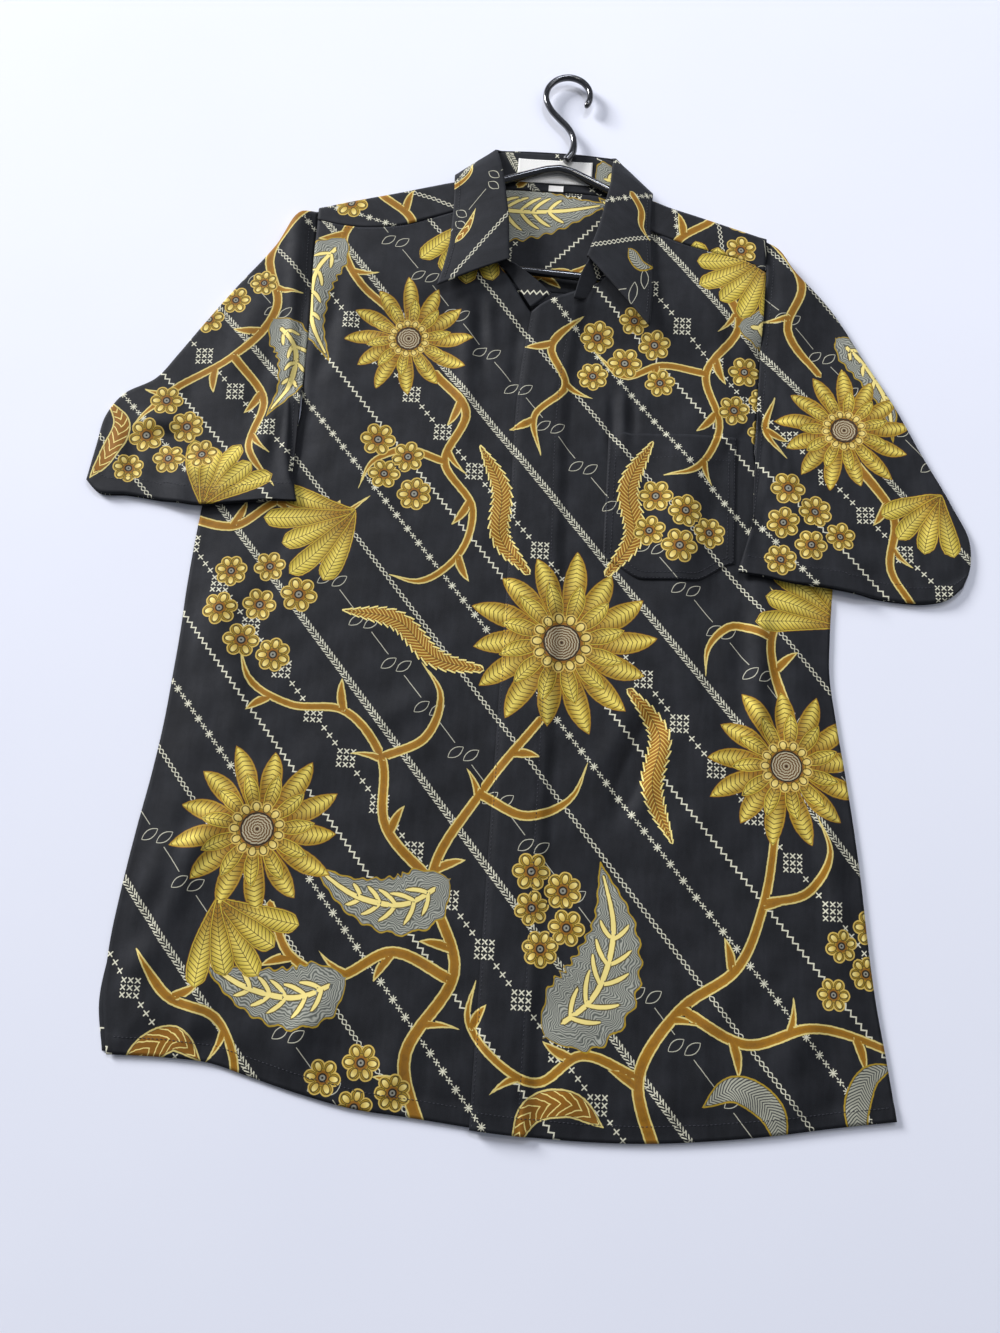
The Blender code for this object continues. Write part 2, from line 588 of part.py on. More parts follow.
def collar():
    q = np.array(STATIONS, float)
    neck = between([r[0:3] for r in COLLAR], q)
    top = between([r[3:6] for r in COLLAR], q)
    run = np.gradient(top, axis=0)
    up = top - neck
    up /= np.linalg.norm(up, axis=1)[:, None]
    out = np.cross(up, run)
    out /= np.linalg.norm(out, axis=1)[:, None]
    stand = np.stack([neck, (neck + top) / 2, top], axis=0)
    on = (q >= FALL_FROM) & (q <= FALL_TO)
    free = between([r[6] for r in COLLAR if r[6]], q[on] - FALL_FROM)
    t, u, o = top[on], up[on], out[on]
    turn = np.exp(-((q[on] - 9.4) ** 2)) + np.exp(-((q[on] - 16.6) ** 2))
    ends = np.exp(-((q[on] - FALL_FROM) ** 2)) + np.exp(-((q[on] - FALL_TO) ** 2))
    g = (0.35 + 1.0 * turn + 0.7 * ends)[:, None]
    w = (0.75 + 0.3 * turn + 0.2 * ends)[:, None]
    rows = [t + g * u, t + (g + 0.65) * u, t + (g + 1.45) * u + w * o, t + (g + 0.65) * u + 2 * w * o]
    rise = np.clip(free[:, 2] / 12, 0, 1) * (free[:, 2] > 7)
    for share in (0.28, 0.64, 1.0):
        row = rows[3] + (free - rows[3]) * share
        row[:, 2] += 1.2 * math.sin(math.pi * share) * rise
        rows.append(row)
    fall = np.stack(rows, axis=0)
    fall[..., 2] = np.maximum(fall[..., 2], REST_Z)
    return stand, fall


stand_grid, fall_grid = collar()
surface("collar_stand", stand_grid, inner_batik, CLOTH, 0)
surface("collar_fall", fall_grid, batik, CLOTH, 0)


# pocket ----------------------------------------------------------------------------------
def pocket_plan():
    top = [(POCKET["left"], POCKET["top_left"]), (POCKET["right"], POCKET["top_right"])]
    s = np.linspace(0, 1, 8)
    t = np.linspace(0, 1, 8)
    x = POCKET["left"] + (POCKET["right"] - POCKET["left"]) * s
    y_top = top[0][1] + (top[1][1] - top[0][1]) * s
    cut = POCKET["corner"] * ease(np.abs(2 * s - 1) * 1.6 - 0.6)
    y_low = y_top - POCKET["deep"] + cut
    grid = np.empty((8, 8, 2))
    for i, share in enumerate(t):
        grid[i, :, 0] = x
        grid[i, :, 1] = y_low + (y_top - y_low) * share
    return grid


surface("chest_pocket", with_heights(pocket_plan(), lambda x, y: left_front_top(x, y) + PITCH + 0.25), batik, CLOTH, -1)


# labels ------------------------------------------------------------------------------------
def patch(name, spec, base, material):
    s = np.linspace(-0.5, 0.5, 5)
    grid = np.empty((2, 5, 3))
    for i, v in enumerate((-0.5, 0.5)):
        grid[i, :, 0] = spec["x"] + s * spec["wide"]
        grid[i, :, 1] = spec["y"] + v * spec["high"]
        grid[i, :, 2] = base
    return surface(name, grid, material, spec["thick"], 1)


patch("neck_label", LABEL, 2.0 + CLOTH / 2 + GAP, white_tape)
patch("size_tag", TAG, 2.0 + CLOTH / 2 + GAP, white_tape)

# buttons under the fly -----------------------------------------------------------------------
for k in range(BUTTONS):
    y = 190.0 - BUTTON_PITCH * k
    x = float(placket_x(y)[0]) + LAP / 2
    z = float(front_top(x, y)) + GAP + BUTTON_H / 2
    bpy.ops.mesh.primitive_cylinder_add(vertices=16, radius=BUTTON_D / 2 * MM, depth=BUTTON_H * MM, location=place((x, y, z)))
    button = bpy.context.object
    button.name = button.data.name = f"fly_button_{k + 1}"
    button.data.materials.append(button_plastic)
    for c in list(button.users_collection):
        c.objects.unlink(button)
    collection.objects.link(button)

# hanger -------------------------------------------------------------------------------------
tube("hanger_frame", FRAME_LOOP, plastic, cyclic=True)
hook = [tuple(p) for p in along(HOOK, np.linspace(0, 1, 30))]
tube("hanger_hook", hook, plastic)
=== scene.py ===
import math

import bpy
import numpy as np
from mathutils import Matrix, Vector


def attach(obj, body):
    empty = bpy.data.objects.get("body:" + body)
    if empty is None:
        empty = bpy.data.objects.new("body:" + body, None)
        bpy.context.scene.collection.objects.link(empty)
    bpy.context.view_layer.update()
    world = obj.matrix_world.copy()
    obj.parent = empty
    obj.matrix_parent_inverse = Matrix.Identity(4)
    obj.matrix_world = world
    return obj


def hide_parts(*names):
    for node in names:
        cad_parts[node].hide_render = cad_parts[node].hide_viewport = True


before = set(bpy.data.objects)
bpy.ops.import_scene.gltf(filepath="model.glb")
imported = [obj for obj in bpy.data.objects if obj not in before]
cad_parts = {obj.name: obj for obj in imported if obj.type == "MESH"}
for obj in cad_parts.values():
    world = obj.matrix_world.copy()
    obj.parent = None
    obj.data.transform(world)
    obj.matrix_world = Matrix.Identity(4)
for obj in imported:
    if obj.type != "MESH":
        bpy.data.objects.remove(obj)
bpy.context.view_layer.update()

MM = 0.001
CENTRE_X, CENTRE_Y = -4.16, 39.31  # the shirt's plan (mm) at the frame's origin

# =====================================================================================
# 1. The shirt's sizes (mm, in its own plan: x to the wearer's left, y to the collar)
# =====================================================================================
WALL = 0.75
PITCH = 1.3
SEAM = 0.12
EDGE_TOP = 2.3
LOFT, LOFT_REACH = 3.0, 30.0
TUBE, TUBE_Z = 7.0, 7.0
OVER_TUBE, FLAT_BY_TUBE, DRAPE = 11.9, 18.0, 54.0
LAP = 34.0
BUTTON_H, GAP = 1.6, 0.3
SLEEVE_MIN = 2.9
YOKE_BACK_Y, YOKE_LIFT, NECK_X = 262.0, 1.5, 79.0
HANGER_X, HANGER_Y, HANGER_TURN = 5.0, 384.5, math.radians(-2.85)
HANGER_SLOPE, HANGER_DROP, HANGER_END = math.radians(23.2), 108.0, 16.5

SIDES = (
    (58, -263.0, 246.0), (24, -264.5, 243.5), (-30, -265.5, 240.0), (-60, -265.0, 239.5),
    (-95, -265.5, 244.0), (-135, -266.5, 250.5), (-175, -269.5, 256.5), (-215, -274.0, 261.5),
    (-260, -278.0, 266.0), (-300, -280.0, 271.0), (-340, -277.5, 278.0), (-377, -269.5, 284.0),
)
CREASE = 2.3
LEFT_UNDERARM, RIGHT_UNDERARM = (-263.0, 58.0), (243.5, 24.0)
LEFT_SCOOP = ((-263, 58), (-240, 66), (-219, 78), (-205, 94), (-197.5, 110), (-195.2, 126))
RIGHT_SCOOP = ((243.5, 24), (225, 37), (206, 56), (192, 78), (184, 100), (180.6, 122))
LEFT_ARM = ((-193.6, 76.0), (-201.0, 326.0))
RIGHT_ARM = ((178.0, 60.0), (186.5, 323.0))
HEM = (
    (-269.5, -374), (-230, -373), (-195, -374.5), (-168, -381), (-130, -390),
    (-90, -397), (-59, -399), (-13, -402.5), (30, -406), (65, -406.5),
    (110, -405), (155, -400.5), (200, -394), (238, -387), (284, -379.5),
)
PLACKET = ((-404, -11.0), (-200, -12.5), (0, -14.0), (195, -15.0), (236, -10.5))
YOKE_LEFT = ((-200.6, 312), (-177, 307.5), (-153, 307), (-130, 311), (-108, 319), (-87, 327), (-79, 330))
YOKE_RIGHT = ((185.4, 288), (171, 296), (140, 304), (109, 313), (90, 320), (79, 324))
NECK_LEFT = ((-77.5, 330), (-71, 312), (-60, 296), (-47, 284), (-36.5, 272), (-24, 253), (-12, 236), (2, 225.5), (20.5, 219))
NECK_RIGHT = ((-10.5, 236), (1, 245), (19, 254), (36, 262), (50, 275), (61, 289), (71, 307), (77.5, 324))
SHOULDER = ((-201, 326), (-180, 333), (-133, 347), (-99, 357.5), (-79, 362.5), (79, 357.5), (98, 350.5), (126, 342), (158, 332), (186.5, 323))
BACK_NECK = ((-79, 357), (-70, 360.5), (-40, 361.5), (0, 361.5), (40, 361), (66, 357.5), (79, 351.5))
LEFT_FOLD = ((-201, 326), (-214, 323), (-235, 288), (-257, 256), (-290, 202), (-304, 178), (-318, 156), (-345, 137), (-355, 118), (-358, 92), (-361, 60))
LEFT_CUFF = ((-187, 52), (-210, 51), (-237, 47.5), (-265, 43.5), (-296, 46), (-325, 49), (-350, 50), (-361, 54))
RIGHT_FOLD = ((186.5, 323), (194, 318), (209, 296), (243, 259), (270, 214), (293, 176), (315, 133), (339, 88), (352, 58), (351, 34), (345, 19))
RIGHT_CUFF = ((167, 18), (185, 16), (210, 12), (240, 10), (264, 6.5), (290, 3.5), (318, 4), (332, 8), (343, 14))
FOLDS = (
    (-62, 240, -52, 100, 1.6, 16), (-18, 215, -30, 60, 1.0, 18), (81, -178, 112, -92, -1.6, 20),
    (150, 120, 160, -20, -1.1, 18), (196, 0, 205, -120, 1.3, 18), (-255, -300, -232, -190, 1.0, 18),
    (-120, -150, -60, -360, 0.9, 26), (40, -230, 60, -400, 0.8, 22), (180, -180, 215, -380, 1.0, 24),
)
COLLAR = (
    (-11.2, 239.5, 11.2, 5.0, 252.0, 15.0, None),
    (-22.5, 256.0, 11.4, -12.0, 266.0, 16.5, None),
    (-35.0, 273.5, 11.5, -27.0, 276.0, 18.0, None),
    (-43.0, 281.5, 11.6, -34.0, 279.0, 18.6, (-91.5, 251.0, 17.5)),
    (-59.0, 297.5, 11.6, -36.0, 297.0, 18.6, (-87.0, 275.0, 15.6)),
    (-70.2, 313.0, 11.6, -38.0, 321.0, 18.0, (-84.5, 301.0, 14.2)),
    (-76.6, 331.0, 11.6, -42.0, 345.0, 16.6, (-84.5, 325.0, 13.5)),
    (-78.0, 349.0, 11.6, -46.0, 368.0, 14.0, (-85.0, 346.0, 13.4)),
    (-78.0, 359.5, 11.2, -50.5, 386.0, 10.6, (-86.0, 360.0, 12.4)),
    (-78.0, 363.4, 6.6, -53.0, 395.5, 6.0, (-86.5, 369.5, 6.3)),
    (-75.5, 362.0, 2.2, -49.5, 399.6, 2.6, (-79.5, 360.5, 0.6)),
    (-58.0, 362.2, 2.0, -39.0, 401.0, 2.0, (-60.0, 350.5, 0.5)),
    (-30.0, 362.4, 2.0, -22.0, 401.6, 2.0, (-34.0, 346.0, 0.5)),
    (0.0, 362.4, 2.0, 0.0, 401.8, 2.0, (0.0, 345.0, 0.5)),
    (30.0, 362.2, 2.0, 22.0, 401.4, 2.0, (34.0, 345.5, 0.5)),
    (56.0, 360.6, 2.0, 39.0, 400.4, 2.0, (60.0, 348.5, 0.5)),
    (74.5, 356.8, 2.2, 49.5, 398.6, 2.6, (79.5, 355.0, 0.6)),
    (78.0, 357.4, 6.5, 53.0, 394.5, 5.4, (86.5, 362.5, 6.3)),
    (78.0, 353.0, 11.3, 51.5, 382.0, 10.8, (86.5, 355.0, 12.4)),
    (78.0, 344.0, 11.6, 51.0, 366.0, 14.0, (86.0, 342.0, 13.4)),
    (76.6, 325.0, 11.6, 47.5, 343.0, 16.6, (86.0, 318.0, 13.6)),
    (70.4, 308.0, 11.6, 43.5, 320.0, 18.2, (88.0, 292.0, 14.6)),
    (60.2, 291.0, 11.6, 38.5, 300.0, 18.8, (90.0, 262.0, 16.0)),
    (51.0, 279.0, 11.8, 34.5, 285.0, 19.2, (88.0, 225.0, 17.8)),
    (43.0, 268.5, 13.2, 29.0, 271.0, 19.0, None),
    (33.5, 248.5, 14.2, 23.5, 246.0, 18.6, None),
)
HOOK = (
    (9.0, 391.5), (13.5, 398), (15.5, 407), (14, 418), (8.5, 427.5), (0.5, 436), (-7, 445),
    (-12, 457), (-10.5, 469), (-2, 478.5), (9, 481), (19.5, 477), (26, 468.5), (27, 458.5), (24, 450),
)
POCKET = {"left": 60.0, "right": 165.0, "top_left": 131.0, "top_right": 135.5, "deep": 126.0, "corner": 16.0}

# creases of the fronts:  x0, y0, x1, y1, rise, half width
CREASES = (
    (-67, 256, -57, 120, 0.9, 6.5), (-57, 250, -46, 175, -0.9, 5.0), (-48, 247, -42, 205, 0.6, 4.5),
    (-20, 228, -22, 160, -0.7, 5.5), (61, 168, 64, 112, -1.0, 4.5), (77, 176, 80, 124, -0.9, 4.5),
    (70, 172, 72, 116, 0.7, 4.0), (80, -182, 107, -102, -2.3, 8.5), (92, -188, 118, -112, 1.0, 8.0),
    (64, -150, 92, -92, 0.7, 8.0), (88, 300, 92, 356, -1.0, 5.0), (-258, -296, -234, -196, -1.2, 9.0),
    (-246, -300, -220, -205, 0.8, 8.5), (185, 8, 183, -124, 1.4, 7.5), (172, 4, 170, -100, -0.9, 8.0),
    (198, -20, 200, -128, -0.8, 7.5), (-216, -374, -210, -316, 0.8, 8.0), (-196, -376, -192, -330, -0.6, 7.0),
    (-140, -390, -132, -325, 0.7, 9.0), (-112, -394, -110, -352, -0.6, 7.5), (-70, -398, -66, -336, 0.8, 8.5),
    (-46, -400, -44, -354, -0.5, 7.5), (56, -404, 54, -345, 0.6, 9.0), (84, -405, 80, -356, -0.5, 7.5),
    (128, -402, 120, -335, 0.8, 9.5), (166, -398, 160, -344, -0.6, 8.0), (214, -390, 202, -318, 0.9, 10.0),
    (244, -384, 236, -330, -0.7, 8.0), (-236, -40, -204, -150, 0.7, 10.0), (-222, -30, -190, -130, -0.6, 8.5),
    (-180, 60, -120, -10, 0.6, 11.0), (-130, 120, -92, 40, -0.6, 9.5), (30, 60, 78, -20, 0.7, 11.0),
    (46, 46, 96, -36, -0.5, 9.0), (120, -40, 156, -150, 0.6, 12.0), (136, -36, 172, -140, -0.6, 9.0),
    (150, 250, 172, 150, -0.8, 9.0), (140, 262, 158, 180, 0.6, 8.0), (-176, 262, -186, 150, -0.9, 8.0),
    (-160, 262, -168, 170, 0.6, 8.0), (232, -150, 246, -260, 0.8, 9.0), (222, -160, 232, -250, -0.6, 8.0),
    (124, 150, 118, -20, 1.3, 15.0), (167, 150, 158, -14, -1.5, 17.0), (96, 128, 92, 40, -0.6, 11.0),
    (-60, -60, -86, -220, 0.5, 13.0), (20, -230, 10, -340, -0.5, 12.0), (-196, 30, -206, -60, -0.6, 9.0),
    (-266, -268, -212, -204, 1.3, 14.0), (-272, -338, -250, -298, 0.9, 10.0), (-212, -210, -182, -158, 0.9, 11.0),
    (-142, -356, -112, -318, 0.8, 11.0), (-112, -134, -70, -96, 0.8, 11.0), (-250, -84, -232, -24, 0.8, 12.0),
    (208, -352, 232, -296, 1.0, 12.0), (18, -318, 42, -272, 0.8, 11.0), (-174, -186, -140, -146, 0.6, 11.0),
    (150, -330, 172, -286, 0.7, 11.0), (110, -222, 138, -172, 0.6, 12.0), (-40, 30, -10, 76, 0.6, 12.0),
)
# creases of the sleeves:  x0, y0, x1, y1, rise, half width
SLEEVE_CREASES = (
    (-318, 104, -276, 92, -1.3, 7.0), (-330, 120, -290, 112, 0.9, 7.0), (-300, 84, -262, 66, 0.7, 7.0),
    (-344, 118, -336, 66, 0.8, 6.5), (-330, 108, -322, 62, -0.7, 6.0), (-236, 250, -262, 150, 0.7, 10.0),
    (-222, 210, -240, 110, -0.7, 9.0), (-206, 170, -212, 78, -1.2, 6.0), (-284, 180, -296, 80, -0.5, 10.0),
    (-250, 90, -246, 52, 0.6, 6.0), (-292, 92, -292, 52, 0.5, 6.5), (206, 250, 236, 160, 0.7, 10.0),
    (196, 190, 200, 90, -1.0, 6.5), (220, 200, 240, 90, -0.6, 9.5), (262, 190, 286, 80, 0.6, 10.0),
    (300, 120, 322, 40, -0.7, 8.0), (316, 110, 336, 40, 0.6, 7.5), (226, 60, 222, 14, 0.6, 6.0),
    (262, 58, 264, 12, -0.5, 6.5), (186, 80, 178, 26, -0.9, 5.5),
)


# =====================================================================================
# 2. Working functions
# =====================================================================================
def ease(t):
    t = np.clip(t, 0.0, 1.0)
    return t * t * (3 - 2 * t)


def along(points, t):
    """Catmull-Rom curve through the points at shares t of its chord length."""
    p = np.array(points, float)
    p = p[np.concatenate([[True], np.linalg.norm(np.diff(p, axis=0), axis=1) > 1e-6])]
    step = np.linalg.norm(np.diff(p, axis=0), axis=1)
    knots = np.concatenate([[0], np.cumsum(step)]) / step.sum()
    tangent = np.gradient(p, knots, axis=0)
    t = np.atleast_1d(np.clip(t, 0, 1))
    i = np.clip(np.searchsorted(knots, t, side="right") - 1, 0, len(p) - 2)
    h = (knots[i + 1] - knots[i])[:, None]
    s = ((t - knots[i])[:, None]) / h
    return (
        (2 * s**3 - 3 * s**2 + 1) * p[i]
        + (s**3 - 2 * s**2 + s) * h * tangent[i]
        + (-2 * s**3 + 3 * s**2) * p[i + 1]
        + (s**3 - s**2) * h * tangent[i + 1]
    )


def value(table, x):
    """Smooth function through rows (x, y) at x."""
    rows = sorted(table)
    xs = np.array([r[0] for r in rows], float)
    ys = np.array([r[1] for r in rows], float)
    slope = np.gradient(ys, xs)
    x = np.clip(np.atleast_1d(np.asarray(x, float)), xs[0], xs[-1])
    i = np.clip(np.searchsorted(xs, x, side="right") - 1, 0, len(xs) - 2)
    h = xs[i + 1] - xs[i]
    s = (x - xs[i]) / h
    return (
        (2 * s**3 - 3 * s**2 + 1) * ys[i]
        + (s**3 - 2 * s**2 + s) * h * slope[i]
        + (-2 * s**3 + 3 * s**2) * ys[i + 1]
        + (s**3 - s**2) * h * slope[i + 1]
    )


def distance(points, x, y):
    best = np.full(np.shape(x), 1e9)
    for a, b in zip(points[:-1], points[1:]):
        dx, dy = b[0] - a[0], b[1] - a[1]
        if dx == 0 and dy == 0:
            continue
        s = np.clip(((x - a[0]) * dx + (y - a[1]) * dy) / (dx * dx + dy * dy), 0, 1)
        best = np.minimum(best, np.hypot(x - a[0] - s * dx, y - a[1] - s * dy))
    return best


def inside(points, x, y):
    found = np.zeros(np.shape(x), bool)
    for a, b in zip(points, points[1:] + points[:1]):
        crosses = (a[1] > y) != (b[1] > y)
        at = (b[0] - a[0]) * (y - a[1]) / (b[1] - a[1] + 1e-12) + a[0]
        found ^= crosses & (x < at)
    return found


def hanger_to_shirt(x, y):
    c, s = math.cos(HANGER_TURN), math.sin(HANGER_TURN)
    return HANGER_X + c * x - s * y, HANGER_Y + s * x + c * y


def hanger_loop(n=9):
    corner = HANGER_DROP / math.tan(HANGER_SLOPE)
    reach = HANGER_END / math.tan(HANGER_SLOPE / 2)
    cx, cy = corner - reach, -HANGER_DROP + HANGER_END
    right = [(12.0, -4.2)]
    right += [
        (cx + HANGER_END * math.cos(a), cy + HANGER_END * math.sin(a))
        for a in np.linspace(math.pi / 2 - HANGER_SLOPE, -math.pi / 2, n)
    ]
    half = [(0.0, -1.6)] + right
    loop = half + [(-x, y) for x, y in reversed(half[1:])]
    return [hanger_to_shirt(x, y) for x, y in loop]


FRAME_LOOP = hanger_loop()
ROD_LINE = hanger_loop(28)
ROD_LINE += ROD_LINE[:1]
UNDER_EDGE_LEFT = [tuple(p) for p in along(LEFT_SCOOP, np.linspace(1, 0, 9))]
UNDER_EDGE_RIGHT = [tuple(p) for p in along(RIGHT_SCOOP, np.linspace(0, 1, 9))]
LEFT_SIDE = [(r[1], r[0]) for r in SIDES]
RIGHT_SIDE = [(246.0, 40.0)] + [(r[2], r[0]) for r in SIDES[1:]]
OPEN_EDGE = UNDER_EDGE_LEFT + LEFT_SIDE[1:-1] + list(HEM) + RIGHT_SIDE[::-1][1:-1] + UNDER_EDGE_RIGHT
BODY_OUTLINE = OPEN_EDGE + [(186.5, 330), (0, 362), (-201, 330)]


def drape(x, y):
    d = distance(FRAME_LOOP + FRAME_LOOP[:1], x, y)
    d = np.where(inside(FRAME_LOOP, x, y), 0.0, d)
    return ease(1 - np.maximum(d - FLAT_BY_TUBE, 0) / DRAPE)


def creases(table, x, y):
    rise = np.zeros(np.shape(x))
    for x0, y0, x1, y1, up, wide in table:
        dx, dy = x1 - x0, y1 - y0
        long = math.hypot(dx, dy)
        s = ((x - x0) * dx + (y - y0) * dy) / long**2
        across = ((x - x0) * dy - (y - y0) * dx) / long
        ends = np.clip(np.minimum(s, 1 - s) * 2 + 0.35, 0, 1)
        rise += up * ease(ends) * np.exp(-((across / wide) ** 2))
    return rise


def ripple(x, y):
    """Soft unevenness of cotton that has been folded and worn."""
    return (
        0.22 * np.sin(x / 17.0 + 1.3 * np.sin(y / 61.0)) * np.sin(y / 43.0 + 0.8 * np.sin(x / 37.0))
        + 0.16 * np.sin((x + 0.8 * y) / 12.5 + 1.1 * np.sin(y / 33.0))
        + 0.10 * np.sin((x - 1.4 * y) / 8.3 + 1.7 * np.sin(x / 29.0))
    )


def above(up, least):
    """The larger of two heights, with a soft change from one to the other."""
    return 0.5 * (up + least + np.sqrt((up - least) ** 2 + 0.04))


def clear_of_rod(x, y):
    """The least height of a layer that lies over the shirt's other layers and the hanger's rod."""
    d = distance(ROD_LINE, x, y)
    rod = TUBE_Z + np.sqrt(np.clip((TUBE / 2 + 1.3) ** 2 - d**2, 0, None)) + 0.1
    return np.maximum(np.where(d < TUBE / 2 + 1.3, rod, 0.0), EDGE_TOP - 0.1)


def front_top(x, y, fine=True):
    x, y = np.asarray(x, float), np.asarray(y, float)
    e = distance(OPEN_EDGE, x, y)
    near = np.exp(-(np.hypot(x - LEFT_UNDERARM[0], y - LEFT_UNDERARM[1]) / 80) ** 2)
    near += np.exp(-(np.hypot(x - RIGHT_UNDERARM[0], y - RIGHT_UNDERARM[1]) / 80) ** 2)
    loft = LOFT * ease(e / LOFT_REACH) * (1 - 0.75 * np.clip(near, 0, 1))
    low = EDGE_TOP + loft + creases(FOLDS, x, y) * ease(e / 25)
    up = low + (OVER_TUBE - low) * drape(x, y)
    if fine:
        edge = ease((e - 1) / 16) * (1 - 0.8 * ease((22 - np.abs(x - 3)) / 14))  # flatter over the hidden buttons
        up = up + (CREASE * creases(CREASES, x, y) + 1.9 * ripple(x, y)) * edge
        hem = distance(list(HEM), x, y)
        up = up + 0.55 * (1 - ease((hem - 12.0) / 1.8)) * ease((hem + 1) / 2)  # the turned hem is double
        # pulled in along the armhole seams, more on the side that faces away from the light
        left, right = distance(list(LEFT_ARM), x, y), distance(list(RIGHT_ARM), x, y)
        dip = 2.2 * np.exp(-((left / 3.0) ** 2)) + 4.2 * np.clip(1 - right / 15.0, 0, 1) ** 1.3
        up = up - dip * ease((y - 60) / 60) * (1 - 0.85 * drape(x, y))
        up = above(up, clear_of_rod(x, y))
    return up


def placket_x(y):
    return value(PLACKET, y)


def placket_rise(x, y):
    d = np.asarray(x) - placket_x(y).reshape(np.shape(x))
    over = PITCH + (BUTTON_H + GAP) * ease((d + 2) / 9)
    out = over * (1 - ease((d - LAP - 1) / 11))
    return out - 0.35 * np.exp(-(((d - LAP + 0.5) / 1.6) ** 2)) + 0.18 * np.exp(-(((d - LAP + 5) / 2.5) ** 2)) * np.sin(np.asarray(y) / 2.9)


def left_front_top(x, y):
    return front_top(x, y) + placket_rise(x, y)


def yoke_lift(x, y):
    return YOKE_LIFT * ease((y - 322) / 16) * ease((104 - np.abs(x)) / 12)


def coons(bottom, top, left, right, rows, cols):
    s, t = np.asarray(cols), np.asarray(rows)
    b, c = bottom(s), top(s)
    l, r = left(t), right(t)
    S, T = s[None, :, None], t[:, None, None]
    corners = (1 - S) * (1 - T) * b[0] + S * (1 - T) * b[-1] + (1 - S) * T * c[0] + S * T * c[-1]
    return (1 - S) * l[:, None] + S * r[:, None] + (1 - T) * b[None] + T * c[None] - corners


def joined(first, second, share):
    def at(t):
        t = np.atleast_1d(t)
        out = np.empty((len(t), 2))
        one = t <= share
        if one.any():
            out[one] = along(first, t[one] / share)
        if (~one).any():
            out[~one] = along(second, (t[~one] - share) / (1 - share))
        return out

    return at


def shifted(points, dx=0.0, dy=0.0):
    return [(p[0] + dx, p[1] + dy) for p in points]


def arm_line(line, low, high, dx):
    (x0, y0), (x1, y1) = line
    ys = np.linspace(low, high, 8)
    return [(x0 + (x1 - x0) * (y - y0) / (y1 - y0) + dx, y) for y in ys]


def place(points):
    return (np.asarray(points, float) - np.array([CENTRE_X, CENTRE_Y, 0.0])) * MM


def steps(extra, n):
    """n even shares from 0 to 1, with more put in."""
    return np.unique(np.round(np.concatenate([np.linspace(0, 1, n), extra]), 6))


# =====================================================================================
# 3. Meshes: grids with a cloth coordinate (mm on the flat cloth) at every face corner
# =====================================================================================
CLOTH_AT = {}  # object name -> (faces, 4, 2) cloth coordinates


def quads(name, points, faces, cloth, wall, side, smooth=True):
    me = bpy.data.meshes.new(name)
    me.from_pydata([tuple(p) for p in place(points)], [], [tuple(int(i) for i in f) for f in faces])
    me.update()
    if smooth:
        me.polygons.foreach_set("use_smooth", np.ones(len(me.polygons), bool))
    ob = bpy.data.objects.new(name, me)
    bpy.context.scene.collection.objects.link(ob)
    if wall:
        solid = ob.modifiers.new("wall", "SOLIDIFY")
        solid.thickness = wall * MM
        solid.offset = side
        solid.use_rim = True
    CLOTH_AT[name] = np.asarray(cloth, float)
    return ob


def sheet_grid(name, grid, cloth, wall=WALL, side=-1, ring=False, flip=False):
    """grid (rows, cols, 3) mm; cloth (rows, cols, 2), one column more on a ring."""
    rows, cols = grid.shape[:2]
    index = np.arange(rows * cols).reshape(rows, cols)
    if ring:
        index = np.concatenate([index, index[:, :1]], axis=1)
    corner = [index[:-1, :-1], index[:-1, 1:], index[1:, 1:], index[1:, :-1]]
    faces = np.stack(corner, -1).reshape(-1, 4)
    at = np.stack([cloth[:-1, :-1], cloth[:-1, 1:], cloth[1:, 1:], cloth[1:, :-1]], 2).reshape(-1, 4, 2)
    if flip:
        faces, at = faces[:, ::-1], at[:, ::-1]
    return quads(name, grid.reshape(-1, 3), faces, at, wall, side)


def with_heights(plan, height):
    return np.dstack([plan, height(plan[..., 0], plan[..., 1])])


def turned(xy, degrees, dx=0.0, dy=0.0, flip_x=False):
    x, y = xy[..., 0], xy[..., 1]
    if flip_x:
        x = -x
    c, s = math.cos(math.radians(degrees)), math.sin(math.radians(degrees))
    return np.stack([c * x - s * y + dx, s * x + c * y + dy], -1)


# fronts ----------------------------------------------------------------------------
left_side_up = LEFT_SIDE[::-1]
left_arm_up = list(LEFT_SCOOP[:-1]) + arm_line(LEFT_ARM, 126, 312 - SEAM, SEAM)
left_hem = [p for p in HEM if p[0] < 18] + [(23, -405.5)]
right_front_plan = coons(
    bottom=lambda s: along(left_hem, s),
    top=joined([(p[0], p[1] - SEAM) for p in YOKE_LEFT], [(p[0] - 1.5, p[1] - SEAM) for p in NECK_LEFT], 0.46),
    left=joined([(-269.5, -374)] + left_side_up[1:], left_arm_up, 0.62),
    right=lambda t: np.stack([placket_x(-405.5 + t * (219 + 405.5)) + LAP, -405.5 + t * (219 + 405.5)], 1),
    rows=np.linspace(0, 1, 262),
    cols=np.linspace(0, 1, 112),
)
cloth_front_right = sheet_grid(
    "cloth_front_right", with_heights(right_front_plan, lambda x, y: front_top(x, y)), right_front_plan
)
right_arm_up = list(RIGHT_SCOOP[:-1]) + arm_line(RIGHT_ARM, 122, 288 - SEAM, -SEAM)
right_hem = [(-11, -404)] + [p for p in HEM if p[0] > 20]
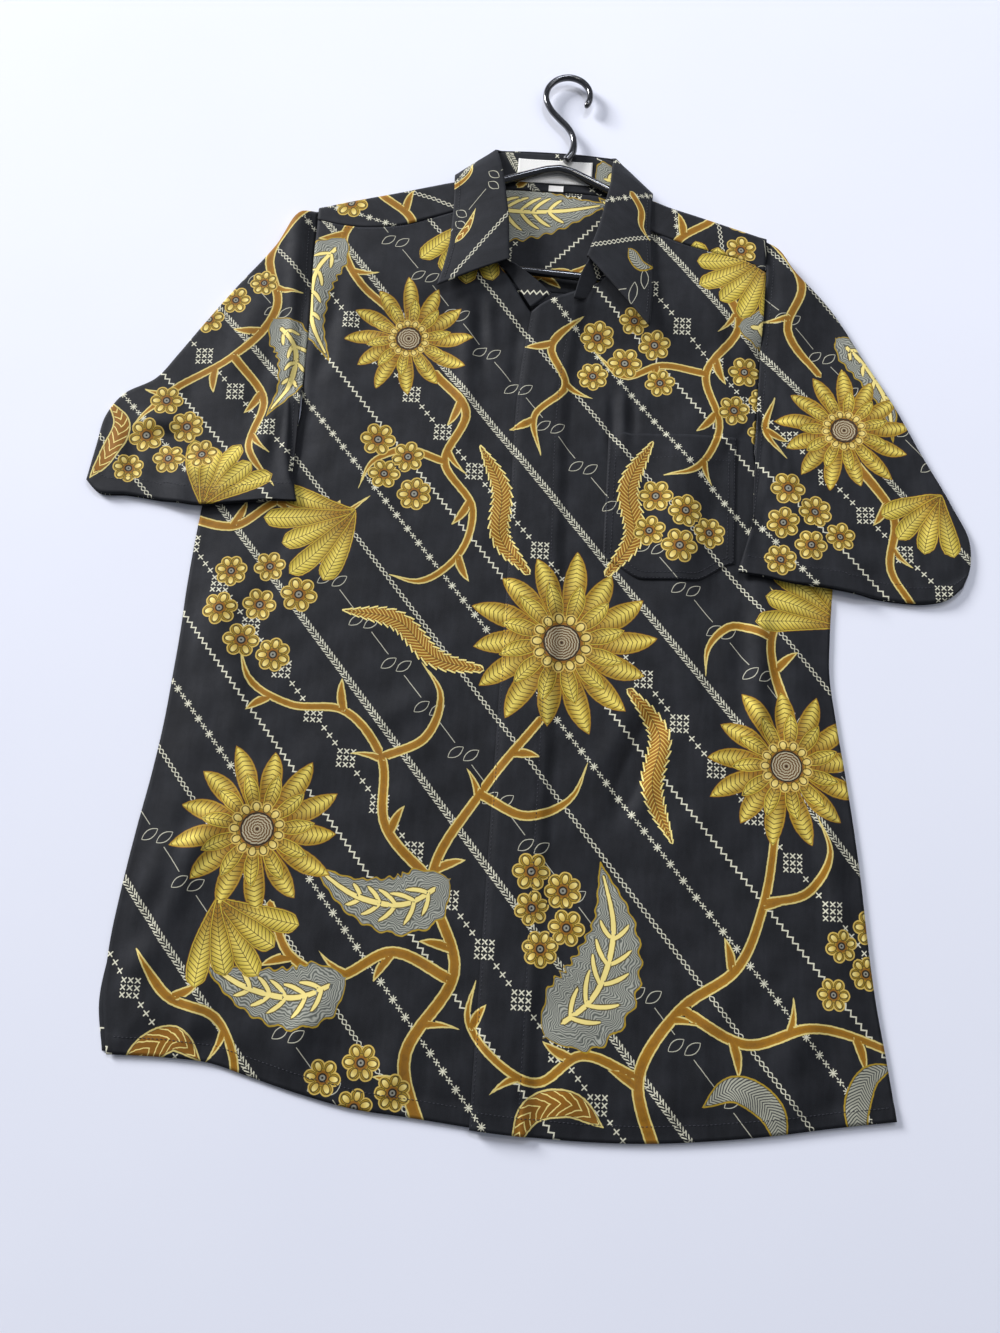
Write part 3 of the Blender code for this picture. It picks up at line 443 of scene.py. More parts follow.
left_front_plan = coons(
    bottom=lambda s: along(right_hem, s),
    top=joined([(p[0] + (1.2 if p[1] > 246 else 0), p[1] - SEAM) for p in NECK_RIGHT], [(p[0], p[1] - SEAM) for p in YOKE_RIGHT[::-1]], 0.54),
    left=lambda t: np.stack([placket_x(-404 + t * (236 + 404)), -404 + t * (236 + 404)], 1),
    right=joined(RIGHT_SIDE[::-1][:-1] + [(243.5, 24)], right_arm_up, 0.60),
    rows=np.linspace(0, 1, 262),
    cols=steps([0.003, 0.006, 0.012, 0.02, 0.11, 0.114, 0.118, 0.122], 112),
)
left_front_grid = with_heights(left_front_plan, left_front_top)
cloth_front_left = sheet_grid("cloth_front_left", left_front_grid, left_front_plan)

# back ---------------------------------------------------------------------------------
BACK_IN = 1.0
back_left = joined(
    [(p[0] + BACK_IN - 5.0 * float(ease((-290 - p[1]) / 60.0)), p[1]) for p in [(-269.5, -372)] + left_side_up[1:]],
    shifted(list(LEFT_SCOOP[:-1]), 0.6, -0.6) + arm_line(LEFT_ARM, 126, YOKE_BACK_Y - SEAM, SEAM),
    0.64,
)
back_right = joined(
    shifted(RIGHT_SIDE[::-1][:-1] + [(243.5, 24)], -BACK_IN),
    shifted(list(RIGHT_SCOOP[:-1]), -0.6, -0.6) + arm_line(RIGHT_ARM, 122, YOKE_BACK_Y - SEAM, -SEAM),
    0.60,
)
back_hem = [tuple(back_left(0.0)[0])] + [(x, y + 3) for x, y in HEM[1:-1]] + [tuple(back_right(0.0)[0])]
back_plan = coons(
    bottom=lambda s: along(back_hem, s),
    top=lambda s: np.stack([back_left(1.0)[0][0] + s * (back_right(1.0)[0][0] - back_left(1.0)[0][0]), np.full(len(s), YOKE_BACK_Y - SEAM)], 1),
    left=back_left,
    right=back_right,
    rows=np.linspace(0, 1, 188),
    cols=np.linspace(0, 1, 162),
)


def back_under(x, y):
    """The underside lies on the surface; the turned hem and seams barely lift it."""
    e = distance(OPEN_EDGE, x, y)
    return 0.12 + 0.10 * (ripple(x, y) + 0.4) * ease((e - 4) / 20)


cloth_back = sheet_grid(
    "cloth_back", with_heights(back_plan, lambda x, y: np.maximum(back_under(x, y), 0.02)), turned(back_plan, 0, 0, 0, True), side=-1, flip=True
)

# yoke -----------------------------------------------------------------------------------
FRONT_STEPS, FOLD_STEPS, BACK_STEPS = 12, 12, 34
yoke_xs = np.unique(np.round(np.concatenate([
    np.linspace(-200.0, -NECK_X, 46), np.linspace(-NECK_X, NECK_X, 56), np.linspace(NECK_X, 184.4, 42)]), 4))


def yoke_columns():
    seam = list(YOKE_LEFT) + list(YOKE_RIGHT)
    long = FRONT_STEPS + FOLD_STEPS + BACK_STEPS + 1
    points, cloth, faces = [], [], []
    columns, flat_columns = [], []
    for x in yoke_xs:
        outer = abs(x) >= NECK_X - 1e-6
        ys = float(value(SHOULDER, x)[0])
        column, laid = [], []
        lean = math.radians(16.4) * (1 if x < 0 else -1)  # the shoulder's slope
        normal = np.array([-math.sin(lean), math.cos(lean)])
        if outer:
            y0 = float(value(seam, x)[0]) + SEAM
            top = float(front_top(x, ys - 8, fine=False))
            low = float(yoke_lift(x, ys - 8))
            r = (top - low) / 2
            flat = ys - r
            for k in range(FRONT_STEPS):
                y = y0 + (flat - y0) * k / FRONT_STEPS
                z = float(front_top(x, y, fine=False)) + 0.35 * math.exp(-(((y - y0 - 2.2) / 1.8) ** 2))
                z += float(ripple(x, y)) * 0.6 * float(ease((flat - y) / 12))
                column.append((x, y, z))
                gone = (flat - y) * math.cos(lean)
                laid.append(np.array([x, y]) + normal * (2 * gone + math.pi * r))
            for k in range(FOLD_STEPS):
                a = math.pi / 2 - math.pi * k / FOLD_STEPS
                column.append((x, flat + r * math.cos(a), low + r + r * math.sin(a)))
                laid.append(np.array([x, flat]) + normal * r * (a + math.pi / 2))
            start = flat
        else:
            start = float(value(BACK_NECK, x)[0])
        for k in range(BACK_STEPS + 1):
            y = start + (YOKE_BACK_Y + SEAM - start) * k / BACK_STEPS
            column.append((x, y, float(yoke_lift(x, y)) + 0.05))
            laid.append(np.array([x, y]))
        moved = []
        for px, py, pz in column:
            if x < -195:
                px = float(np.interp(py, [76, 326], [LEFT_ARM[0][0], LEFT_ARM[1][0]])) + SEAM + (x + 200.0)
            elif x > 180:
                px = float(np.interp(py, [60, 323], [RIGHT_ARM[0][0], RIGHT_ARM[1][0]])) - SEAM + (x - 185.0)
            moved.append((px, py, pz))
        columns.append(np.array(moved))
        flat_columns.append(np.array(laid) * np.array([-1.0, 1.0]))
    index, n = [], 0
    at = flat_columns
    for c in columns:
        index.append(np.arange(n, n + len(c)))
        n += len(c)
        points.append(c)
    for i in range(len(columns) - 1):
        m = min(len(index[i]), len(index[i + 1]))
        a, b = index[i][-m:], index[i + 1][-m:]
        ca, cb = at[i][-m:], at[i + 1][-m:]
        for k in range(m - 1):
            faces.append((b[k], b[k + 1], a[k + 1], a[k]))
            cloth.append((cb[k], cb[k + 1], ca[k + 1], ca[k]))
    return np.concatenate(points), faces, cloth


yoke_points, yoke_faces, yoke_cloth = yoke_columns()
cloth_yoke = quads("cloth_yoke", yoke_points, yoke_faces, yoke_cloth, WALL, -1)


# sleeves --------------------------------------------------------------------------------
def sleeve(arm, fold, cuff, dx, join_y, turn, mx, my, ridge, trough, spread):
    a = (arm[0][0] + dx, arm[0][1])
    s = (arm[1][0] + dx, arm[1][1])
    armhole = lambda u: np.stack([a[0] + (s[0] - a[0]) * u, a[1] + (s[1] - a[1]) * u], 1)
    outer = [s] + list(fold[1:])
    cuff_line = list(cuff[:-1]) + [fold[-1]]
    inner = lambda v: np.stack([a[0] + (cuff[0][0] - a[0]) * v, a[1] + (cuff[0][1] - a[1]) * v], 1)
    v = steps([0.955, 0.96, 0.965], 88)
    u = np.unique(np.concatenate([[0, 0.004, 0.012, 0.022, 0.978, 0.988, 0.996, 1.0], np.linspace(0.035, 0.965, 52)]))
    plan = coons(bottom=armhole, top=lambda q: along(cuff_line, q), left=inner, right=lambda q: along(outer, q), rows=v, cols=u)
    x, y = plan[..., 0], plan[..., 1]
    within = distance(OPEN_EDGE, x, y) * np.where(inside(BODY_OUTLINE, x, y), 1, -1)
    lower = ease((within + 36) / 22) * ease((join_y + 46 - y) / 26)
    under = lower * (front_top(x, y, fine=False) + 1.3)
    low = EDGE_TOP + LOFT
    top = low + (OVER_TUBE - low) * drape(x, y)
    edge_u = np.minimum(u, 1 - u)[None, :]
    top = np.maximum(top - 1.6 * ease((v - 0.3) / 0.7)[:, None], under + SLEEVE_MIN + 1.0 * ease(edge_u * 4))
    width = np.linalg.norm(plan[:, -1] - plan[:, 0], axis=1)[:, None]
    half = (top - under) / 2
    d = np.minimum(u, 1 - u)[None, :] * width
    round_ = np.sqrt(np.clip(1 - (1 - np.clip(d / half, 0, 1)) ** 2, 0, 1))
    mid = under + half
    soft = (CREASE * creases(SLEEVE_CREASES, x, y) + 1.9 * ripple(x, y)) * ease((d - 2) / 14)
    hem = np.linalg.norm(plan - plan[-1:, :], axis=2)
    double = 0.5 * (1 - ease((hem - 14.0) / 1.8)) * ease(d / 6)
    from_arm = np.linalg.norm(plan - plan[:1], axis=2)
    pulled = ridge * np.exp(-(((from_arm - 1.3 * spread) / (0.6 * spread)) ** 2)) - trough * np.clip(1 - from_arm / spread, 0, 1) ** 1.2
    top = mid + half * round_ + np.maximum(soft + double + pulled, -half * 0.8)
    near_rod = distance(ROD_LINE, x, y) < TUBE
    upper = np.dstack([plan, np.where(near_rod, above(top, clear_of_rod(x, y)), top)])
    below = np.dstack([plan, mid - half * round_ + 0.06])
    ring = np.concatenate([upper, below[:, -2:0:-1]], axis=1)
    # the cloth runs on past the outer fold: the underside mirrored in the fold's chord, eased to meet it
    edge = plan[:, -1]
    middle = edge.mean(0)
    chord = np.linalg.svd(edge - middle, full_matrices=False)[2][0]
    mirrored = lambda p: 2 * ((p - middle) @ chord)[..., None] * chord + 2 * middle - p
    far = np.linalg.norm(plan[:, -2::-1] - plan[:, -1:], axis=2)[..., None]
    beyond = mirrored(plan[:, -2::-1]) + (edge - mirrored(edge))[:, None] * ease(1 - far / 110.0)
    cloth = np.concatenate([plan, beyond], axis=1)
    return ring, turned(cloth, turn, mx, my), plan, upper


left_ring, left_cloth, left_sleeve_plan, left_sleeve_top = sleeve(LEFT_ARM, LEFT_FOLD, LEFT_CUFF, -SEAM, 126, -3.1, 80.5, 60.2, 1.6, 5.4, 15.0)
cloth_sleeve_right = sheet_grid("cloth_sleeve_right", left_ring, left_cloth, ring=True)
right_ring, right_cloth, right_sleeve_plan, right_sleeve_top = sleeve(RIGHT_ARM, RIGHT_FOLD, RIGHT_CUFF, SEAM, 122, -3.1, -12.6, 8.9, 0.0, 3.0, 22.0)
cloth_sleeve_left = sheet_grid("cloth_sleeve_left", right_ring, right_cloth, ring=True, flip=True)


# collar ------------------------------------------------------------------------------------
FALL_FROM, FALL_TO = 3, 23
REST_Z = 0.56


def between(rows, q):
    rows = np.array(rows, float)
    step = np.diff(rows, axis=0)
    a, b = step[:-1], step[1:]
    with np.errstate(divide="ignore", invalid="ignore"):
        inner = np.where(a * b > 0, 2 * a * b / (a + b), 0.0)
    slope = np.vstack([step[:1], inner, step[-1:]])
    q = np.asarray(q, float)
    i = np.clip(q.astype(int), 0, len(rows) - 2)
    s = (q - i)[:, None]
    return (
        (2 * s**3 - 3 * s**2 + 1) * rows[i]
        + (s**3 - 2 * s**2 + s) * slope[i]
        + (-2 * s**3 + 3 * s**2) * rows[i + 1]
        + (s**3 - s**2) * slope[i + 1]
    )


def across(rows, n):
    """Smooth cross-sections through the control rows: (k, stations, 3) to (n, stations, 3)."""
    k, m = rows.shape[:2]
    slope = np.gradient(rows, axis=0)
    t = np.linspace(0, k - 1, n)
    i = np.clip(t.astype(int), 0, k - 2)
    s = (t - i)[:, None, None]
    return (
        (2 * s**3 - 3 * s**2 + 1) * rows[i] + (s**3 - 2 * s**2 + s) * slope[i]
        + (-2 * s**3 + 3 * s**2) * rows[i + 1] + (s**3 - s**2) * slope[i + 1]
    )


CAD_STATIONS = [0, 1, 2, 3, 4, 5, 6, 7, 7.5, 8, 8.5, 9, 9.5, 10, 10.5, 11, 12, 13]
CAD_STATIONS += [14, 15, 15.5, 16, 16.5, 17, 17.5, 18, 18.5, 19, 20, 21, 22, 23, 24, 25]


def collar():
    q = np.unique(np.concatenate([np.linspace(0, 25, 226), np.linspace(7.4, 10.6, 65), np.linspace(15.4, 18.6, 65)]))
    neck = between([r[0:3] for r in COLLAR], q)
    top = between([r[3:6] for r in COLLAR], q)
    # outward directions follow the same stations as the solid
    c = np.array(CAD_STATIONS, float)
    cn, ct = between([r[0:3] for r in COLLAR], c), between([r[3:6] for r in COLLAR], c)
    run = np.gradient(ct, axis=0)
    cu = ct - cn
    cu /= np.linalg.norm(cu, axis=1)[:, None]
    co = np.cross(cu, run)
    co /= np.linalg.norm(co, axis=1)[:, None]
    up = top - neck
    up /= np.linalg.norm(up, axis=1)[:, None]
    out = np.stack([np.interp(q, c, co[:, k]) for k in range(3)], 1)
    out /= np.linalg.norm(out, axis=1)[:, None]
    stand = across(np.stack([neck, (neck + top) / 2, top], axis=0), 17)
    on = (q >= FALL_FROM) & (q <= FALL_TO)
    free = between([r[6] for r in COLLAR if r[6]], q[on] - FALL_FROM)
    t, u, o = top[on], up[on], out[on]
    turn = np.exp(-((q[on] - 9.4) ** 2)) + np.exp(-((q[on] - 16.6) ** 2))
    ends = np.exp(-((q[on] - FALL_FROM) ** 2)) + np.exp(-((q[on] - FALL_TO) ** 2))
    g = (0.35 + 1.0 * turn + 0.7 * ends)[:, None]
    w = (0.75 + 0.3 * turn + 0.2 * ends)[:, None]
    rows = [t + g * u, t + (g + 0.65) * u, t + (g + 1.45) * u + w * o, t + (g + 0.65) * u + 2 * w * o]
    rise = np.clip(free[:, 2] / 12, 0, 1) * (free[:, 2] > 7)
    for share in (0.28, 0.64, 1.0):
        row = rows[3] + (free - rows[3]) * share
        row[:, 2] += 1.2 * math.sin(math.pi * share) * rise
        rows.append(row)
    rows = np.stack(rows, axis=0)
    roll = across(rows[:4], 14)
    leaf = np.stack([rows[3] + (free - rows[3]) * s for s in np.linspace(0, 1, 30)[1:]], axis=0)
    share = np.linspace(0, 1, 30)[1:][:, None]
    leaf[..., 2] += 1.2 * np.sin(math.pi * share) * rise[None]
    # a soft wave along each leaf, and a slightly turned-up free edge
    leaf[..., 2] += (0.5 * np.sin(q[on] * 1.9)[None] * share + 0.25 * share**6) * rise[None]
    fall = np.concatenate([roll, leaf], axis=0)
    fall[..., 2] = np.maximum(fall[..., 2], REST_Z)
    return q, stand, fall


def unrolled(grid, line):
    """Cloth coordinates of a band: along its line (a row of the grid) and across it."""
    u = np.concatenate([[0], np.cumsum(np.linalg.norm(np.diff(grid[line], axis=0), axis=1))])
    v = np.concatenate([np.zeros((1, grid.shape[1])), np.cumsum(np.linalg.norm(np.diff(grid, axis=0), axis=2), axis=0)])
    return np.stack([-np.broadcast_to(u, v.shape), -v], -1)


collar_q, stand_grid, fall_grid = collar()
fall_cloth = unrolled(fall_grid, 0)
stand_cloth = unrolled(stand_grid, 8)
cloth_collar_stand = sheet_grid("cloth_collar_stand", stand_grid, stand_cloth, wall=0.9, side=0)
cloth_collar_fall = sheet_grid("cloth_collar_fall", fall_grid, fall_cloth, wall=0.9, side=0)


# pocket ----------------------------------------------------------------------------------
def pocket_plan(rows=50, cols=42):
    s, t = np.linspace(0, 1, cols), np.linspace(0, 1, rows)
    x = POCKET["left"] + (POCKET["right"] - POCKET["left"]) * s
    y_top = POCKET["top_left"] + (POCKET["top_right"] - POCKET["top_left"]) * s
    cut = POCKET["corner"] * ease(np.abs(2 * s - 1) * 1.6 - 0.6)
    y_low = y_top - POCKET["deep"] + cut
    grid = np.empty((rows, cols, 2))
    grid[..., 0] = x[None]
    grid[..., 1] = y_low[None] + (y_top - y_low)[None] * t[:, None]
    return grid


pocket = pocket_plan()
pocket_edge = np.minimum(pocket[..., 0] - POCKET["left"], POCKET["right"] - pocket[..., 0])
pocket_z = left_front_top(pocket[..., 0], pocket[..., 1]) + 0.8 + 0.25 * ease((pocket_edge - 1) / 14)
pocket_z += 0.3 * (1 - ease((pocket[-1:, :, 1] - pocket[..., 1] - 22) / 2))  # the turned top hem
cloth_pocket = sheet_grid("cloth_pocket", np.dstack([pocket, pocket_z]), pocket)


# =====================================================================================
# 4. The print: motifs laid out on the cloth, in millimetres of cloth
# =====================================================================================
FAR = 1000.0
# half-width along a motif:  share of its length, share of its half width
PROFILES = {
    "petal": ((0, 0.45), (0.25, 0.85), (0.5, 1.0), (0.75, 0.8), (0.9, 0.42), (1, 0.0)),
    "ray": ((0, 0.4), (0.25, 0.8), (0.52, 1.0), (0.74, 0.8), (0.9, 0.4), (1, 0.0)),
    "lobe": ((0, 0.2), (0.3, 0.62), (0.65, 1.0), (0.85, 0.98), (0.95, 0.7), (1, 0.1)),
    "frond": ((0, 0.35), (0.2, 0.8), (0.5, 1.0), (0.8, 0.75), (1, 0.15)),
    "leaf": ((0, 0.2), (0.12, 0.8), (0.3, 1.0), (0.55, 0.8), (0.8, 0.36), (1, 0.0)),
    "heart": ((0, 0.35), (0.1, 0.86), (0.26, 1.0), (0.5, 0.82), (0.75, 0.42), (1, 0.0)),
    "stem": ((0, 1.0), (1, 0.55)),
    "taper": ((0, 1.0), (0.6, 0.8), (1, 0.0)),
    "thorn": ((0, 1.0), (0.5, 0.55), (1, 0.0)),
    "spur": ((0, 0.9), (0.4, 1.0), (0.75, 0.6), (1, 0.0)),
    "round": ((0, 0.35), (0.3, 0.75), (0.62, 1.0), (0.85, 0.72), (0.95, 0.4), (1, 0.0)),
    "vein": ((0, 1.0), (0.8, 0.85), (1, 0.4)),
    "hook": ((0, 0.25), (0.3, 0.9), (0.6, 1.0), (0.85, 0.55), (1, 0.0)),
}
# style of a filled motif: colour code, serration, pitch of its lines (mm), their slope, their share
STYLES = {
    "gold": (0.0, 0.0, 3.6, 0.45, 0.18),
    "wing": (1.0, 0.0, 3.3, 0.75, 0.19),
    "plume": (2.0, 0.26, 3.3, -1.05, 0.26),
    "hatch": (3.0, 0.0, 2.3, 0.9, 0.42),
    "ochre": (4.0, 0.0, 7.5, 1.4, 0.17),
    "greyleaf": (5.0, 0.0, 1.9, 1.1, 0.4),
}


def blade(points, wide, profile="petal", style="gold", layer="a", smooth=True):
    n = max(14, min(44, int(sum(math.dist(a, b) for a, b in zip(points[:-1], points[1:])) / 4)))
    line = along(points, np.linspace(0, 1, n)) if smooth and len(points) > 2 else np.array(points, float)
    if len(line) == 2:
        line = line[0] + (line[1] - line[0]) * np.linspace(0, 1, 8)[:, None]
    return {"line": line, "wide": wide, "profile": profile, "style": style, "layer": layer}


def curve_from(x, y, angle, long, bend, n=5):
    """Points of an arc that leaves (x, y) at an angle in degrees and turns by bend degrees."""
    out = [(x, y)]
    for k in range(n):
        a = math.radians(angle + bend * (k + 0.5) / n)
        x, y = x + long / n * math.cos(a), y + long / n * math.sin(a)
        out.append((x, y))
    return out


def stem(points, w0=4.3, w1=3.0, leaves=(), tips=(0, 0)):
    """A woody stem; leaves are (share, side, length, lean), tips say which ends run out to a point."""
    out = [dict(blade(points, w0, "stem", "ochre", "vine"), end=w1, tips=tips)]
    line = along(points, np.linspace(0, 1, 60))
    for k, (share, side, long, lean) in enumerate(leaves):
        i = int(np.clip(share * 59, 1, 58))
        direction = math.degrees(math.atan2(*(line[i + 1] - line[i - 1])[::-1]))
        spur = curve_from(*line[i], direction + side * lean, long, side * 26)
        out.append(blade(spur, 3.6, "thorn" if k % 3 == 1 else "spur", "ochre", "vine"))
    return out


def twig(points, wide=4.0):
    return [blade(points, wide, "taper", "ochre", "vine")]


def blossom(x, y, r=14.5, n=6, phase=0.0):
    return {"rose": (x, y, r, n, phase, 0.0)}


def cluster(points, r=14.5):
    return [blossom(x, y, r * (0.96 + 0.07 * math.sin(x * 1.7 + y)), 6 + (k % 3 == 1), 0.37 * k) for k, (x, y) in enumerate(points)]


def flower(x, y, r, n=13, turn=0.0):
    """A large open flower: two rows of slender pointed petals round a button of drops."""
    out = []
    for k in range(n):
        a = turn + 360.0 * k / n
        c, s = math.cos(math.radians(a)), math.sin(math.radians(a))
        long = r * (0.76 + 0.06 * math.sin(2.3 * k + x))
        out.append(blade(curve_from(x + 0.25 * r * c, y + 0.25 * r * s, a - 9, long, 20), r * 0.128, "ray", "gold", "ab"[k % 2]))
    m = n - 2
    for k in range(m):
        a = turn + 9 + 360.0 * k / m
        c, s = math.cos(math.radians(a)), math.sin(math.radians(a))
        out.append(blade(curve_from(x + 0.2 * r * c, y + 0.2 * r * s, a - 8, r * 0.5, 18), r * 0.096, "ray", "wing", "c"))
    out.append({"rose": (x, y, r * 0.33, 13, 0.2, 1.0)})
    return out


def fan(x, y, start, sweep, n, long, wide, bend=14.0, style="wing", grow=0.0):
    out = []
    for k in range(n):
        a = start + sweep * k / max(n - 1, 1)
        l = long * (1 + grow * (k / max(n - 1, 1) - 0.5)) * (0.95 + 0.07 * math.sin(3.1 * k + x))
        out.append(blade(curve_from(x, y, a, l, bend), wide, "lobe", style, "ab"[k % 2]))
    return out


def fern(points, wide=11.0, layer="c"):
    return [blade(points, wide, "frond", "plume", layer)]


def grey_leaf(points, wide, veins=5):
    """A broad hatched leaf with a gold midrib and plain side veins."""
    out = [blade(points, wide, "heart", "greyleaf", "leaf")]
    line = along(points, np.linspace(0, 1, 40))
    out.append(blade([tuple(p) for p in line[3:37:3]], 1.7, "vein", "gold", "coral"))
    for k in range(veins):
        share = 0.14 + 0.46 * k / max(veins - 1, 1)
        i = int(share * 39)
        direction = math.degrees(math.atan2(*(line[min(i + 1, 39)] - line[i - 1])[::-1]))
        room = wide * float(np.interp(share, [r[0] for r in PROFILES["heart"]], [r[1] for r in PROFILES["heart"]]))
        for side in (1, -1):
            out.append(blade(curve_from(*line[i], direction + side * 58, room * 0.82, -side * 34), 1.35, "vein", "gold", "coral"))
    return out


# the fronts (and the pocket, whose print matches them)
BODY = []
BODY += stem([(-40, -418), (-60, -362), (-30, -300), (-52, -236), (-22, -172), (20, -112)], 4.8, 3.4,
             [(0.12, 1, 26, 46), (0.27, -1, 28, 46), (0.44, 1, 26, 48), (0.6, -1, 26, 46), (0.78, 1, 24, 46), (0.9, -1, 22, 44)])
BODY += stem([(-32, -306), (-76, -290), (-116, -310), (-148, -298), (-168, -262)], 4.4, 3.2, [(0.28, 1, 26, 46), (0.5, -1, 26, 48), (0.75, 1, 24, 44)])
BODY += stem([(-50, -240), (-90, -200), (-98, -150), (-130, -116), (-172, -114), (-206, -96), (-216, -72)], 4.2, 2.8, [(0.2, -1, 24, 46), (0.42, 1, 26, 48), (0.6, -1, 26, 48), (0.82, 1, 22, 46)], tips=(0, 1))
BODY += stem([(-276, 34), (-236, 28), (-200, 52), (-162, 38), (-128, 62)], 4.2, 2.8, [(0.25, 1, 26, 46), (0.5, -1, 26, 48), (0.75, 1, 22, 46)], tips=(0, 1))
BODY += stem([(-150, 336), (-176, 296), (-160, 256), (-132, 232)], 4.2, 3.2, [(0.35, -1, 24, 46), (0.65, 1, 24, 46)])
BODY += stem([(-88, 176), (-58, 140), (-72, 96), (-46, 56), (-54, 16), (-84, -8), (-108, -4)], 4.2, 2.6, [(0.15, -1, 26, 46), (0.35, 1, 28, 48), (0.55, -1, 26, 48), (0.75, 1, 24, 46)], tips=(0, 1))
BODY += stem([(120, -416), (104, -362), (132, -314), (172, -282), (190, -236), (198, -186)], 4.7, 3.3, [(0.2, 1, 26, 46), (0.4, -1, 26, 48), (0.6, 1, 26, 46), (0.8, -1, 24, 46)])
BODY += stem([(132, -314), (180, -334), (222, -320), (292, -334)], 4.3, 3.0, [(0.25, -1, 26, 48), (0.5, 1, 26, 48), (0.78, -1, 24, 46)])
BODY += stem([(104, -362), (62, -350), (34, -370), (2, -356), (-18, -330), (-14, -304)], 4.0, 2.6, [(0.3, -1, 24, 46), (0.55, 1, 24, 46), (0.8, -1, 20, 46)], tips=(0, 1))
BODY += stem([(209, -102), (194, -34), (216, 14), (204, 62)], 4.2, 3.0, [(0.25, -1, 26, 48), (0.55, 1, 24, 48), (0.8, -1, 24, 46)])
BODY += stem([(166, 338), (146, 286), (164, 236), (138, 192), (150, 140), (128, 102), (104, 96)], 4.4, 2.8, [(0.16, 1, 24, 46), (0.34, -1, 26, 48), (0.52, 1, 26, 46), (0.7, -1, 26, 48), (0.88, 1, 22, 46)], tips=(0, 1))
BODY += stem([(138, 192), (100, 196), (70, 184), (44, 206)], 3.8, 2.6, [(0.4, 1, 22, 46), (0.75, -1, 22, 46)], tips=(0, 1))
BODY += stem([(34, 236), (8, 206), (22, 170), (-2, 140), (6, 104)], 4.0, 2.6, [(0.25, -1, 24, 46), (0.5, 1, 26, 48), (0.78, -1, 22, 46)], tips=(1, 1))
BODY += stem([(-260, -300), (-232, -332), (-196, -344), (-178, -378), (-184, -412)], 4.0, 3.0, [(0.3, 1, 24, 46), (0.6, -1, 26, 48), (0.85, 1, 22, 46)], tips=(1, 0))
BODY += twig([(-98, -150), (-66, -132), (-58, -98), (-76, -72)], 3.8)
BODY += twig([(190, -236), (222, -226), (238, -196), (228, -168)], 3.6)
BODY += twig([(-22, -172), (14, -186), (46, -170), (58, -140)], 3.8)
BODY += twig([(-72, 96), (-108, 104), (-130, 92), (-140, 66)], 3.6)
BODY += twig([(194, -34), (164, -26), (146, -44), (144, -70)], 3.6)
# small flowers
BODY += cluster([(-216, -66), (-190, -76), (-236, -42), (-206, -36), (-232, -10), (-202, -4), (-176, -26)])
BODY += cluster([(-120, 82), (-94, 66), (-102, 98), (-128, 112)])
BODY += cluster([(70, 196), (46, 218), (94, 214), (76, 234), (44, 182), (100, 180)])
BODY += cluster([(170, 196), (186, 172), (162, 160), (186, 142)], 13.5)
BODY += cluster([(100, 78), (124, 66), (96, 48), (120, 36), (144, 50)])
BODY += cluster([(240, -296), (264, -280), (246, -262), (268, -248)], 13.5)
BODY += cluster([(20, -226), (44, -238), (22, -252), (48, -264), (30, -280)])
BODY += cluster([(-90, -366), (-66, -384), (-92, -396), (-116, -378)], 13.5)
# large open flowers
BODY += flower(32, -50, 72, 14, 6)
BODY += flower(-184, -210, 62, 13, 0)
BODY += flower(206, -134, 60, 13, 11)
BODY += flower(-112, 206, 52, 12, 4)
# ferns and lobed leaves
BODY += fern([(2, 4), (-22, 34), (-24, 74), (-44, 112)], 9.5, "a")
BODY += fern([(64, 8), (84, 42), (78, 84), (96, 126)], 10.0, "b")
BODY += fern([(86, -84), (110, -116), (106, -158), (122, -198)], 9.5, "a")
BODY += fern([(-28, -76), (-64, -70), (-96, -42), (-140, -36)], 9.5, "b")
BODY += fan(-140, 48, 262, -86, 5, 72, 8.6, -18)
BODY += fan(252, -20, 96, 78, 5, 72, 8.6, 16)
BODY += fan(-206, -262, 256, 84, 5, 62, 8.2, 14)
BODY += fan(186, 304, 196, 82, 5, 66, 8.2, -14)
BODY += fan(-60, 322, 214, 84, 5, 66, 8.4, 14)
# broad grey leaves
BODY += grey_leaf([(40, -336), (70, -310), (82, -268), (70, -214)], 30, 5)
BODY += grey_leaf([(-110, -312), (-140, -326), (-176, -322), (-216, -302)], 23, 5)
BODY += grey_leaf([(-42, -238), (-70, -256), (-102, -254), (-142, -232)], 23, 5)
BODY += grey_leaf([(166, 236), (192, 232), (200, 200), (186, 160)], 18, 3)
BODY += grey_leaf([(-176, 292), (-196, 260), (-196, 220), (-176, 180)], 20, 4)
# curled leaves along the hem
BODY += [blade([(-252, -404), (-244, -372), (-224, -360), (-202, -374)], 10, "hook", "ochre", "c")]
BODY += [blade([(206, -404), (196, -376), (172, -364), (148, -378)], 10, "hook", "hatch", "b")]
BODY += [blade([(20, -412), (32, -388), (56, -382), (82, -396)], 9.5, "hook", "ochre", "b")]
BODY += [blade([(262, -400), (256, -372), (264, -350), (284, -340)], 9, "hook", "hatch", "a")]

